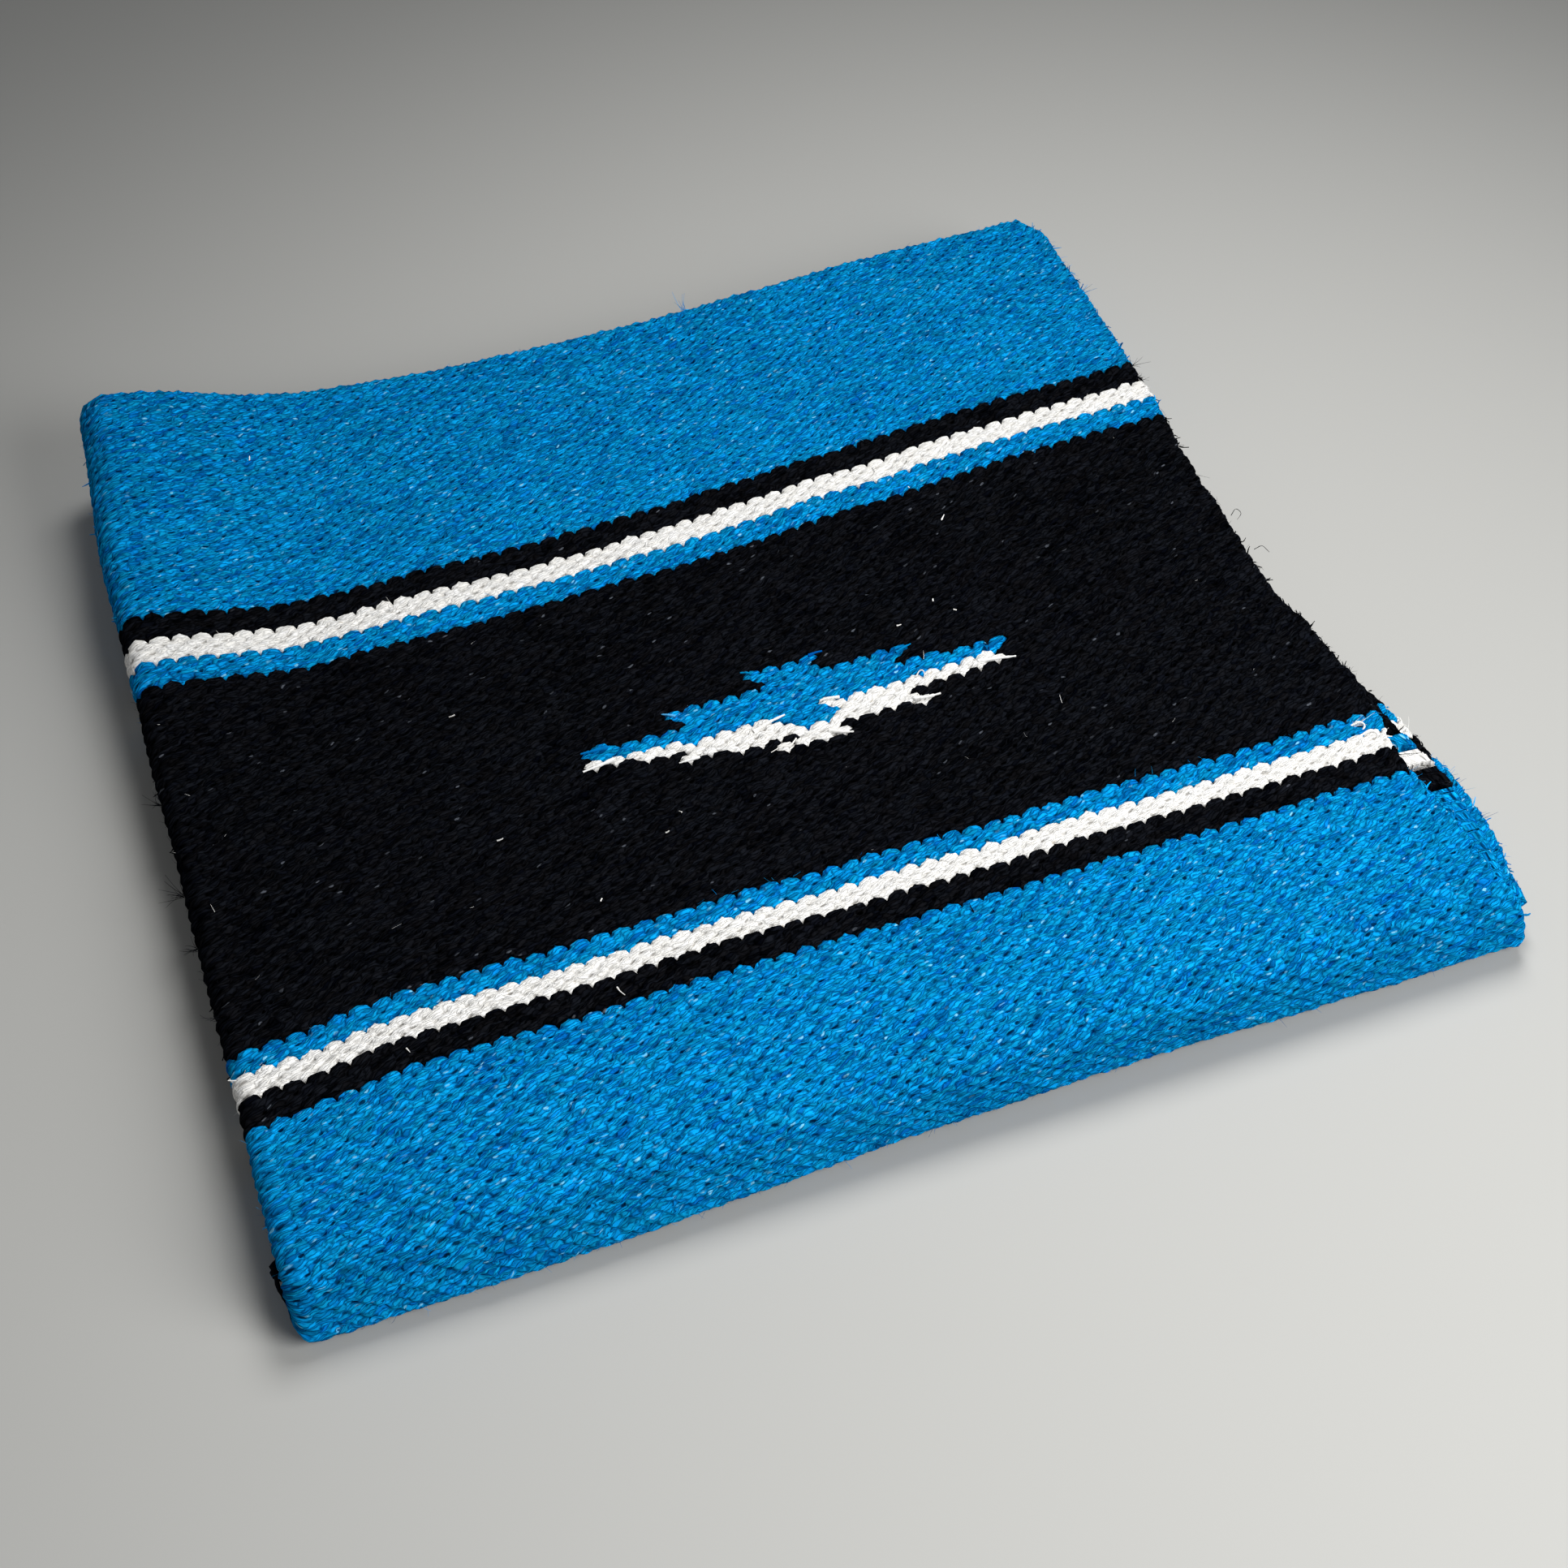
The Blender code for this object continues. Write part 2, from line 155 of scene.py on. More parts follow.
@dataclass(frozen=True)
class ClothPlan:
    """Sizes of the folded cloth, as in the solids, and where a warp crosses a pick."""

    panel_width: float = 0.4064
    thickness: float = 0.0064
    clearance: float = 0.0003
    far_edge_bow: float = 0.0030
    left_bend_reach: float = 0.0600
    near_left_bend: float = -0.0050
    far_left_bend: float = 0.0040
    right_bend_start: float = 0.1300
    near_right_bend: float = -0.0015
    far_right_bend: float = 0.0158
    layer_skews: tuple = (0.0, 0.0, -0.0080, 0.0100, 0.0)
    rim_lift: float = 0.0170
    rim_lift_start: float = 0.1500
    rim_reach_near: float = 0.0550
    rim_reach_far: float = 0.0950
    lift_shares: tuple = (0.0, 1.0, 0.40, 0.40, 0.0)
    selvage_overhang: float = 0.0130
    place_shares: tuple = (
        0.0, 0.04, 0.10, 0.14, 0.17, 0.20, 0.23, 0.26, 0.30, 0.345, 0.40, 0.55, 0.75, 0.962, 1.0
    )
    edge_shares: tuple = (
        (),
        (0.08, 0.06, 0.04, -0.08, -0.22, -0.17, -0.02, -0.02,
         -0.08, -0.14, -0.46, -0.34, 0.02, 0.13, -0.34),
        (0.20, 0.60, 0.80, 0.90, 0.88, 0.68, 0.52, 0.42,
         0.22, 0.12, -0.36, -0.28, -0.02, 0.04, -0.38),
        (0.36, 1.06, 1.38, 1.40, 1.36, 1.24, 1.12, 0.96,
         0.72, 0.52, -0.08, -0.14, -0.05, -0.10, -0.50),
        (0.00, 0.40, 0.50, 0.50, 0.48, 0.40, 0.30, 0.20,
         0.05, -0.15, -0.38, -0.30, -0.20, 0.00, -0.40),
    )
    near_square: float = 8.0
    near_sag: float = 0.0055
    sag_start: float = math.pi / 3
    sag_spread: float = math.pi * 0.42
    sag_end_factor: float = 2.0
    sag_size_factor: float = 1.2
    sag_place_shares: tuple = (0.0, 0.24, 0.36, 0.47, 0.63, 0.81, 1.0)
    sag_shares: tuple = (1.0, 0.95, 0.60, 0.30, 0.05, 0.28, 0.50)
    near_bulge: float = 0.0042
    bulge_power: int = 6
    turn_lean: float = 0.19
    floor_gap: float = 0.0002
    corner_start: float = 0.3000
    corner_flat: float = 0.0300
    corner_reach: float = 0.1300
    corner_lift: float = 0.0038
    upper_corner_pull: float = 0.0055
    lower_corner_pull: float = 0.0088
    corner_push: float = 0.0062
    left_push_share: float = 0.55
    right_corner_start: float = 0.2200
    warps: int = 112
    arc_warps: float = 1.5
    wrap_picks: int = 17
    inner_fold_picks: int = 5
    inner_fold_reach: float = 0.0062
    calm_picks: float = 4.0
    fade_picks: float = 3.0
    inner_relief_share: float = 0.1
    end_turn_picks: int = 4
    end_round_share: float = 0.35

    @property
    def half_thickness(self) -> float:
        """Half of the cloth's thickness."""
        return self.thickness / 2

    @property
    def pitch(self) -> float:
        """Height from one layer to the next."""
        return self.thickness + self.clearance

    @property
    def fold_radius(self) -> float:
        """Outer radius of the near fold, half of the stack's height."""
        return (4 * self.thickness + 3 * self.clearance) / 2

    @property
    def origin(self) -> Array:
        """Plan place of the shared frame's origin."""
        return np.array([(self.panel_width + self.selvage_overhang) / 2, PANEL_LENGTH / 2])

    @property
    def pick_size(self) -> float:
        """Mean distance from one pick to the next."""
        return (PANEL_LENGTH - self.fold_radius) / self.pick_edges()[-1]

    def pick_edges(self) -> Array:
        """Pick numbers of the band boundaries: halfway between two picks, and the last pick's end."""
        edges = np.array(FIRST_PICKS, float) + NEAR_EDGE
        edges[-1] = FIRST_PICKS[-1]
        return edges

    def lift(self, u: Array, v: Array) -> Array:
        """Height of the puffed left rim: an eased rise to the far edge, faded out to the right."""
        along = (v - self.rim_lift_start) / (PANEL_LENGTH - self.rim_lift_start)
        reach = mix(self.rim_reach_near, self.rim_reach_far, np.clip(along, 0, 1))
        left, _ = self.corners(u, v)
        return self.rim_lift * ease(along) * (1 - ease(u / reach)) + self.corner_lift * left

    def corners(self, u: Array, v: Array) -> tuple[Array, Array]:
        """How near a place is to the far left and the far right corner, from 0 to 1, eased."""
        far = ease((v - self.corner_start) / (PANEL_LENGTH - self.corner_start))
        left = far * (1 - ease((u - self.corner_flat) / self.corner_reach))
        return left, far * ease((u - self.right_corner_start) / self.corner_reach)

    def near_turn(self, height: Array, angle: Array, u: Array) -> tuple[Array, Array]:
        """Section of the near fold: a half circle that is squarer and sags where it lies low.

        Below the middle, a point's distance from the middle is divided by the root of the
        summed powers of its cosine and sine, which squares the arc, and a lobe pushes it out.

        Args:
            height: Height over the fold's middle at the start of the turn.
            angle: Angle turned through.
            u: Place along the fold.

        Returns:
            Distance in front of the fold's line, and height over the fold's middle.
        """
        drop = -np.sign(height) * np.cos(angle)
        side = np.sin(angle)
        power = self.near_square
        root = (np.clip(drop, 0, 1) ** power + np.clip(side, TINY, 1) ** power) ** (-1 / power)
        square = np.where(drop > 0, root, 1.0)
        down = np.arccos(np.clip(-drop, -1, 1))
        lobe = ease((down - self.sag_start) / self.sag_spread)
        lobe = lobe * np.minimum(1, self.sag_end_factor * side)
        along = np.interp(u / self.panel_width, self.sag_place_shares, self.sag_shares)
        size = np.abs(height) / self.fold_radius
        sag = self.near_sag * along * lobe * np.clip(self.sag_size_factor * size, 0, 1)
        return np.abs(height) * side * square + sag, height * np.cos(angle) * square

    def middle_height(self, layer: Array, u: Array, v: Array) -> Array:
        """Height of the middle of a layer: its place in the stack and its share of the lift."""
        flat = self.half_thickness + (4 - layer) * self.pitch
        return flat + np.array(self.lift_shares)[layer] * self.lift(u, v)

    def selvage(self, layer: int, v: Array) -> Array:
        """Place of a layer's right selvage: eased between the table's places."""
        places, edges = np.array(self.place_shares), np.array(self.edge_shares[layer])
        place = np.clip(v / PANEL_LENGTH, 0, 1)
        low = np.clip(np.searchsorted(places, place) - 1, 0, len(places) - 2)
        share = ease((place - places[low]) / (places[low + 1] - places[low]))
        return self.panel_width + self.selvage_overhang * mix(edges[low], edges[low + 1], share)

    def boundary(self, index: Array, layer: Array, u: Array) -> Array:
        """Distance of a band boundary from the near fold: straight, bent, skewed or bowed."""
        widths = np.array([band.width for band in BANDS])
        straight = np.concatenate(([self.fold_radius], np.cumsum(widths[:-1]), [PANEL_LENGTH]))
        skew = np.array(self.layer_skews)[layer] * u / self.panel_width
        near = index <= CENTRE_FIELD
        left = np.where(near, self.near_left_bend, self.far_left_bend)
        right = np.where(near, self.near_right_bend, self.far_right_bend)
        left = left * (1 - ease(u / self.left_bend_reach))
        reach = self.panel_width - self.right_bend_start
        right = right * ease((u - self.right_bend_start) / reach) * (layer == 1)
        bow = self.far_edge_bow * np.sin(np.pi * np.clip(u / self.panel_width, 0, 1))
        inner = straight[index] + skew + left + right
        last = straight[index] - bow - self.half_thickness + np.minimum(skew, 0)
        first = straight[index] + 0 * u
        return np.where(index == 0, first, np.where(index == len(BANDS), last, inner))

    def pick_place(self, layer: Array, u: Array, pick: Array) -> Array:
        """Distance of a pick from the near fold, shared out evenly within its band."""
        edges = self.pick_edges()
        index = np.clip(np.searchsorted(edges, pick, side="right") - 1, 0, len(BANDS) - 1)
        share = np.clip((pick - edges[index]) / (edges[index + 1] - edges[index]), 0, 1)
        near = self.boundary(index, layer, u)
        far = self.boundary(index + 1, layer, u)
        return mix(near, far, share)


class SmoothNoise:
    """Random heights on a square lattice that repeats, eased between its points, from -1 to 1."""

    size = 64

    def __init__(self, seed: int, start: float) -> None:
        """Draw the lattice's heights.

        Args:
            seed: Seed of the draw.
            start: Place on the lattice, along both sides, of the coordinates' zero.
        """
        self.heights = np.random.default_rng(seed).uniform(-1, 1, (self.size, self.size))
        self.start = start

    def at(self, x: Array, y: Array) -> Array:
        """Height at x, y: the four corner heights blended by the smooth step of each share.

        Args:
            x: First coordinate, in lattice steps.
            y: Second coordinate, in lattice steps.

        Returns:
            Heights from -1 to 1.
        """
        x, y = x + self.start, y + self.start
        column, row = np.floor(x).astype(int), np.floor(y).astype(int)
        across, along = ease(x - column), ease(y - row)
        corner = lambda i, j: self.heights[(row + j) % self.size, (column + i) % self.size]
        near = mix(corner(0, 0), corner(1, 0), across)
        far = mix(corner(0, 1), corner(1, 1), across)
        return mix(near, far, along)


@dataclass(frozen=True)
class WeaveRelief:
    """How deep the surface lies under the grains' crests, and how far the yarn wanders."""

    valley_depth: float = 0.00022
    pit_depth: float = 0.00125
    pit_reach_warps: float = 0.36
    pit_reach_picks: float = 0.31
    pit_draws: tuple = (0.15, 1.1)
    pit_table: int = 256
    strand_depth: float = 0.00014
    strand_slant: float = 0.42
    lump_depth: float = 0.00035
    lump_size: float = 1.3
    knob_depth: float = 0.00034
    knob_size: tuple = (0.9, 0.62)
    knob_slant: float = 0.4
    wave_depth: float = 0.0006
    wave_size: tuple = (9, 13)
    wander: float = 0.00055
    wander_size: tuple = (1.7, 1.9)
    stripe_wander: float = 0.0006
    stripe_wander_size: tuple = (8, 9)
    dome_height: float = 0.098
    dome_variety: float = 0.90
    dome_size: float = 1.1
    dome_lean: float = 0.30
    dome_power: float = 1.7
    dome_softness: float = 0.6
    seed: int = 7

    def depth(self, warp: Array, pick: Array, layer: int) -> Array:
        """Depth under the crests: valleys, pits, strands, lumps and a slow wave.

        Half the sum and half the difference of warp and pick are whole at a grain's centre.
        The valley rises as the square of the greater distance of the two from whole. The pit
        is a bell about the corner between grains, of a depth drawn for each corner.

        Args:
            warp: Warp number of each point.
            pick: Pick number of each point.
            layer: Layer, which sets the random draw.

        Returns:
            Depths in metres.
        """
        halves = (warp + pick) / 2, (warp - pick) / 2
        valley = np.maximum(*(np.abs(half - np.round(half)) for half in halves)) * 2
        cells = [np.round(half + 0.5) for half in halves]
        offsets = [half + 0.5 - cell for half, cell in zip(halves, cells)]
        across = (offsets[0] + offsets[1]) / self.pit_reach_warps
        along = (offsets[0] - offsets[1]) / self.pit_reach_picks
        size = self.pit_table
        draws = np.random.default_rng(self.seed + layer).uniform(*self.pit_draws, (size, size))
        draw = draws[cells[0].astype(int) % size, cells[1].astype(int) % size]
        strand = (1 - np.cos(2 * np.pi * (pick - self.strand_slant * warp))) / 2
        lump = SmoothNoise(self.seed + 30 + layer, 400).at(warp / self.lump_size, pick / self.lump_size)
        wide, tall = self.knob_size
        lean = pick - self.knob_slant * warp
        knob = SmoothNoise(self.seed + 70 + layer, 400).at(warp / wide, lean / tall)
        wide, tall = self.wave_size
        slow = SmoothNoise(self.seed + 20 + layer, 100).at(warp / wide, pick / tall)
        return (
            self.valley_depth * valley**2
            + self.pit_depth * draw * np.exp(-across**2 - along**2)
            + self.strand_depth * strand
            + self.lump_depth * (lump + 1) / 2
            + self.knob_depth * (knob + 1) / 2
            + self.wave_depth * (slow + 1) / 2
        )

    def rounding(self, warp: Array, pick: Array) -> Array:
        """Shift of a point along the warps that turns zigzag boundaries into leaning domes.

        A boundary is drawn through domes that rise gradually from the left and drop at the
        right, in place of a triangle wave, and it alternates from one boundary to the next.

        Args:
            warp: Warp number of each point.
            pick: Pick number of each point.

        Returns:
            Shifts in picks.
        """
        noise = SmoothNoise(self.seed + 50, 90).at(warp / self.dome_size, pick / self.dome_size)
        vary = 1 + self.dome_variety * noise

        def shift(place: Array) -> Array:
            """Height of the dome at a place, less that of the triangle wave."""
            offset = place - 2 * np.round(place / 2)
            side = np.where(offset < self.dome_lean, 1 + self.dome_lean, 1 - self.dome_lean)
            fall = np.abs((offset - self.dome_lean) / side)
            arch = mix(1 - 2 * fall**self.dome_power, np.cos(np.pi * fall), self.dome_softness)
            return self.dome_height * vary * arch - (0.5 - np.abs(offset))

        parity = (1 + np.cos(np.pi * (pick + NEAR_EDGE))) / 2
        return mix(shift(warp + 1), shift(warp), parity)


@dataclass
class Patch:
    """Mesh under construction: points, their warp and pick numbers, stations and faces.

    A point's station is its warp number along the face that it is on, which puts the paths
    on either side of a wall in step.
    """

    points: list = field(default_factory=list)
    lattice: list = field(default_factory=list)
    stations: list = field(default_factory=list)
    faces: list = field(default_factory=list)
    count: int = 0

    def add_grid(self, points: Array, warp: Array, pick: Array, station: Array) -> Array:
        """Add a grid of points.

        Args:
            points: Rows, columns and coordinates.
            warp: Warp numbers, rows by columns.
            pick: Pick numbers, rows by columns.
            station: Stations, rows by columns.

        Returns:
            The points' indices, rows by columns.
        """
        rows, columns = points.shape[:2]
        indices = self.count + np.arange(rows * columns).reshape(rows, columns)
        self.points.append(points.reshape(-1, 3))
        self.lattice.append(np.stack([warp, pick], axis=-1).reshape(-1, 2))
        self.stations.append(station.reshape(-1))
        self.count += rows * columns
        return indices

    def add_faces(self, faces: Array) -> None:
        """Add triangles, as rows of three indices."""
        if len(faces):
            self.faces.append(np.asarray(faces, dtype=np.int64).reshape(-1, 3))


def lattice_triangles(indices: Array, warp: Array, pick: Array) -> tuple[Array, Array, Array]:
    """Triangles of a grid, split along the lines between grains.

    A unit cell of warps and picks whose near-left corner is a crossing is split along its
    falling diagonal, and any other along its rising one. A triangle belongs to the crossing
    on its own side of that diagonal.

    Args:
        indices: Point indices, rows by columns.
        warp: Warp number of each column.
        pick: Pick number of each row.

    Returns:
        Triangles, and the warp and the pick of the crossing that each belongs to.
    """
    near_left, near_right = indices[:-1, :-1], indices[:-1, 1:]
    far_left, far_right = indices[1:, :-1], indices[1:, 1:]
    middle_warp = (warp[:-1] + warp[1:]) / 2
    middle_pick = (pick[:-1] + pick[1:]) / 2
    column, row = np.floor(middle_warp)[None, :], np.floor(middle_pick)[:, None]
    falling = ((column + row) % 2 == 0)
    first = np.where(
        falling[..., None],
        np.stack([near_left, near_right, far_left], -1),
        np.stack([near_left, near_right, far_right], -1),
    )
    second = np.where(
        falling[..., None],
        np.stack([far_right, far_left, near_right], -1),
        np.stack([near_left, far_right, far_left], -1),
    )
    width, height = np.diff(warp)[None, :] / 6, np.diff(pick)[:, None] / 6
    triangles, warps, picks = [], [], []
    for order, faces in ((-1, first), (1, second)):
        x = middle_warp[None, :] + np.where(falling, order, -order) * width - column
        y = middle_pick[:, None] + order * height - row
        far_side = np.where(falling, x + y > 1, y > x)
        owner_warp = column + np.where(falling, far_side, 1 - far_side)
        owner_pick = row + far_side
        triangles.append(faces.reshape(-1, 3))
        warps.append(np.broadcast_to(owner_warp, far_side.shape).reshape(-1))
        picks.append(owner_pick.reshape(-1))
    return (
        np.concatenate(triangles),
        np.concatenate(warps).astype(int),
        np.concatenate(picks).astype(int),
    )


def open_edges(faces: Array) -> Array:
    """Directed edges that only one of the triangles has."""
    edges = np.concatenate([faces[:, [0, 1]], faces[:, [1, 2]], faces[:, [2, 0]]])
    size = edges.max() + 1
    keys = edges[:, 0] * size + edges[:, 1]
    reverse = edges[:, 1] * size + edges[:, 0]
    return edges[~np.isin(keys, reverse)]


def boundary_path(edges: Array, start: int, end: int) -> list[int]:
    """Points met when the directed edges are followed from start to end."""
    following = dict(map(tuple, edges.tolist()))
    path = [start]
    while path[-1] != end:
        path.append(following[path[-1]])
    return path


def zip_paths(
    outer: Sequence[int], inner: Sequence[int], stations: Array
) -> list[tuple[int, int, int]]:
    """Triangles that join two paths with unlike counts of points, in step by station."""
    outer_run = np.abs(stations[outer] - stations[outer[0]]).tolist() + [math.inf]
    inner_run = np.abs(stations[inner] - stations[inner[0]]).tolist() + [math.inf]
    faces = []
    i = j = 0
    while i < len(outer) - 1 or j < len(inner) - 1:
        if outer_run[i + 1] <= inner_run[j + 1]:
            faces.append((outer[i + 1], outer[i], inner[j]))
            i += 1
        else:
            faces.append((inner[j], inner[j + 1], outer[i]))
            j += 1
    return [face for face in faces if len(set(face)) == 3]


def edge_difference(edges: Array, others: Array) -> Array:
    """The directed edges that aren't among the others."""
    size = max(edges.max(), others.max()) + 1
    found = np.isin(edges @ [size, 1], others @ [size, 1])
    return edges[~found]


@dataclass(frozen=True)
class Columns:
    """Columns of a grid: warps for their place and their weave, turns and stations."""

    place: Array
    weave: Array
    turn: Array
    station: Array


@dataclass(frozen=True)
class OuterFace:
    """Outer face of a stretch: points, rows, columns, triangles and their crossings."""

    points: Array
    pick: Array
    columns: Columns
    triangles: Array
    warps: Array
    rows: Array


class DoubledCloth:
    """One half of the blanket: places the points of its bands and builds their shells."""

    edge_turn_warps = 1.4
    edge_turn_steps = 5
    inner_step = 3.0
    fold_step = 0.5
    left_seam_warp = 5.0

    def __init__(
        self, plan: ClothPlan, relief: WeaveRelief, half: Half, seam_warp: float = -left_seam_warp
    ) -> None:
        """Keep what the half is made from.

        Args:
            plan: Sizes of the folded cloth.
            relief: Relief of the weave.
            half: Which half this is.
            seam_warp: Warp under the left fold at which the two stretches meet.
        """
        self.plan = plan
        self.relief = relief
        self.half = half
        self.seam_warp = seam_warp

    def place(self, warp: Array, pick: Array, side_turn: Array, depth: Array) -> Array:
        """Points of the cloth's surface.

        A point stands off from the middle of the cloth by half the thickness less its depth,
        along a direction that turns from the outer face (side turn 0) round the selvage (a
        quarter) to the inner face (a half). Beyond the last pick the stand-off turns round the
        cloth's end, and beyond the first one the section is carried round the near fold.

        Args:
            warp: Warp number of each column.
            pick: Pick number of each row.
            side_turn: Turn round the selvage of each column, in radians.
            depth: Depth under the crests, rows by columns.

        Returns:
            Coordinates in the shared frame, rows by columns by three.
        """
        plan = self.plan
        u, v, z, normal_u, normal_z, layer = self.middle(warp, pick)
        warp_grid, pick_grid = np.broadcast_arrays(warp[None, :], pick[:, None])
        inner = self.is_inner(warp)[None, :]
        calm = np.where(inner, ease((pick_grid - NEAR_EDGE) / plan.calm_picks), 1.0)
        shift = self.relief.rounding(warp_grid, pick_grid) * plan.pick_size
        shift = (shift + self.wander(warp_grid, pick_grid, 1)) * calm
        u = u + self.wander(warp_grid, pick_grid, 0) * (1 - np.abs(normal_u)) * calm
        half_fold = plan.inner_fold_picks / 2
        from_fold = np.abs(pick_grid - NEAR_EDGE + half_fold) - half_fold
        fade = np.where(inner, ease((from_fold + plan.fade_picks / 2) / plan.fade_picks), 1.0)

        stand_off = plan.half_thickness - depth * mix(plan.inner_relief_share, 1.0, fade)
        end_turn = np.clip((pick - plan.pick_edges()[-1]) / plan.end_turn_picks, 0, 1) * np.pi
        end_turn = end_turn[:, None]
        facing = np.cos(side_turn)[None, :] * np.cos(end_turn)
        sideways = np.sin(side_turn)[None, :] * (1 - plan.end_round_share * np.sin(end_turn))
        rounded = 1 - plan.end_round_share * np.sin(side_turn)[None, :]
        u = u + stand_off * (normal_u * facing + sideways)
        v = v + stand_off * np.sin(end_turn) * rounded + shift * np.cos(end_turn)
        z = z + stand_off * normal_z * facing
        u, v, z = self.round_near_fold(u, v, z, layer, pick, shift, inner)
        return np.stack([u - plan.origin[0], v - plan.origin[1], z], axis=-1)

    def middle(self, warp: Array, pick: Array) -> tuple[Array, ...]:
        """Middle of the cloth: flat in each layer, and a half circle round the left fold.

        Args:
            warp: Warp number of each column.
            pick: Pick number of each row.

        Returns:
            Places u and v, heights, the outward direction's shares along u and upwards, and
            the layer, each rows by columns.
        """
        plan, half = self.plan, self.half
        row = np.clip(pick, NEAR_EDGE, None)[:, None]
        top, bottom = np.array(half.top), np.array(half.bottom)
        zero = np.zeros_like(row)
        fold_v = plan.pick_place(top, zero, row)
        rise = plan.middle_height(top, zero, fold_v) - plan.middle_height(bottom, zero, fold_v)
        fold_u = rise / 2 + plan.half_thickness
        heights, lengths = [], []
        for layer in (top, bottom):
            heights.append(plan.middle_height(layer, fold_u, plan.pick_place(layer, fold_u, row)))
            edge_v = plan.pick_place(layer, plan.panel_width + zero, row)
            lengths.append(plan.selvage(int(layer), edge_v))
        radius, centre = (heights[0] - heights[1]) / 2, (heights[0] + heights[1]) / 2
        quarter = radius * np.pi / 2
        share = np.clip(warp, -plan.warps, plan.warps)[None, :] / plan.warps
        flat = quarter - fold_u - plan.half_thickness
        run = np.where(share >= 0, (flat + lengths[0]) * share, (flat + lengths[1]) * share)
        layer = np.where(share >= 0, half.top, half.bottom) + np.zeros_like(row, dtype=int)
        on_fold = np.abs(run) < quarter
        turn = np.clip(run / radius, -np.pi / 2, np.pi / 2)
        u = np.where(on_fold, fold_u - radius * np.cos(turn), fold_u + np.abs(run) - quarter)
        v = plan.pick_place(layer, u, row + 0 * u)
        z = np.where(on_fold, centre + radius * np.sin(turn), plan.middle_height(layer, u, v))
        left, right = plan.corners(u, v)
        v = v + plan.corner_push * (plan.left_push_share * left + right)
        pull = plan.upper_corner_pull if half is UPPER else plan.lower_corner_pull
        u = u + pull * left * (1 - ease(u / plan.corner_reach))
        normal_u = np.where(on_fold, -np.cos(turn), 0.0)
        normal_z = np.where(on_fold, np.sin(turn), np.sign(run))
        return u, v, z, normal_u, normal_z, layer

    def round_near_fold(
        self, u: Array, v: Array, z: Array, layer: Array, pick: Array, shift: Array, inner: Array
    ) -> tuple[Array, Array, Array]:
        """Carry the rows before the first pick round the near fold.

        Each point keeps its distance from the fold's middle and turns about it in proportion
        to its pick, while its place along the fold goes over to that of the layer it reaches.

        Args:
            u: Place to the right.
            v: Place away from the fold's face.
            z: Height.
            layer: Layer of each point.
            pick: Pick number of each row.
            shift: Shift of each point along the warps.
            inner: Whether each column is on the layer inside the fold.

        Returns:
            The three, changed where the pick is before the first one.
        """
        plan, sign = self.plan, self.half.turn_sign
        turn_picks = np.where(inner, plan.inner_fold_picks, plan.wrap_picks)
        near_turn = (NEAR_EDGE - pick)[:, None] / turn_picks
        beyond = np.clip(near_turn - 1, 0, None) * turn_picks * plan.pick_size
        near_turn = np.clip(near_turn, 0, 1)
        height = z - plan.fold_radius
        angle = near_turn * np.pi + 0 * u
        past = (pick < NEAR_EDGE)[:, None]
        leaning = angle + sign * plan.turn_lean * np.sin(angle)
        reach, fall = plan.near_turn(height, np.where(inner, angle, leaning), u)
        reach = np.where(inner, sign * height * np.sin(angle), reach)
        fall = np.where(inner, height * np.cos(angle), fall)
        faced = 1 - np.clip((np.abs(height) - plan.clearance / 2) / plan.thickness, 0, 1)
        pinch = plan.inner_fold_reach * faced * (1 - np.abs(2 * near_turn - 1))
        swept = plan.fold_radius - reach - np.where(inner, pinch, 0.0)
        ends = np.array([plan.selvage(k, np.array(plan.fold_radius)) for k in (1, 1, 2, 3, 4)])
        stretch = ends[5 - layer] / ends[layer]
        u = u * np.where(past, mix(1.0, stretch, near_turn), 1.0)
        bulge = plan.near_bulge * np.clip(u / plan.panel_width, 0, 1) ** plan.bulge_power
        u = u + np.where(past & ~inner, bulge * np.sin(angle), 0.0)
        v = np.where(past, swept + shift * np.cos(angle) + beyond, v)
        rise = sign * shift * np.sin(angle)
        z = np.where(past, np.maximum(plan.fold_radius + fall + rise, plan.floor_gap), z)
        return u, v, z

    def is_inner(self, warp: Array) -> Array:
        """Whether a warp is on the layer that lies inside the near fold."""
        if self.half is UPPER:
            return warp < -self.plan.arc_warps - TINY
        return warp > self.plan.arc_warps - TINY

    def wander(self, warp: Array, pick: Array, direction: int) -> Array:
        """Shift of the yarn: a noise at the grains' scale and, along the warps, a slower one."""
        relief, seed = self.relief, 40 + self.half.top * 4 + direction * 2
        across, along = relief.wander_size
        shift = relief.wander * SmoothNoise(seed, 300).at(warp / across, pick / along)
        if direction:
            across, along = relief.stripe_wander_size
            noise = SmoothNoise(seed + 1, 300).at(warp / across, pick / along)
            shift = shift + relief.stripe_wander * noise
        return shift

    def columns(self, stretch: Stretch, fineness: int) -> Columns:
        """Columns of the outer face, from the seam over the crests and half round the selvage."""
        warps, side = self.plan.warps, stretch.sign
        span = warps - side * self.seam_warp
        flat = np.linspace(self.seam_warp, side * warps, math.ceil(span * fineness) + 1)
        shares = np.linspace(0, 1, self.edge_turn_steps + 1)[1:]
        weave = np.concatenate([flat, side * (warps + shares * self.edge_turn_warps)])
        turn = np.concatenate([0 * flat, shares * np.pi / 2])
        order = slice(None, None, side)
        return Columns(weave[order], weave[order], turn[order], weave[order])

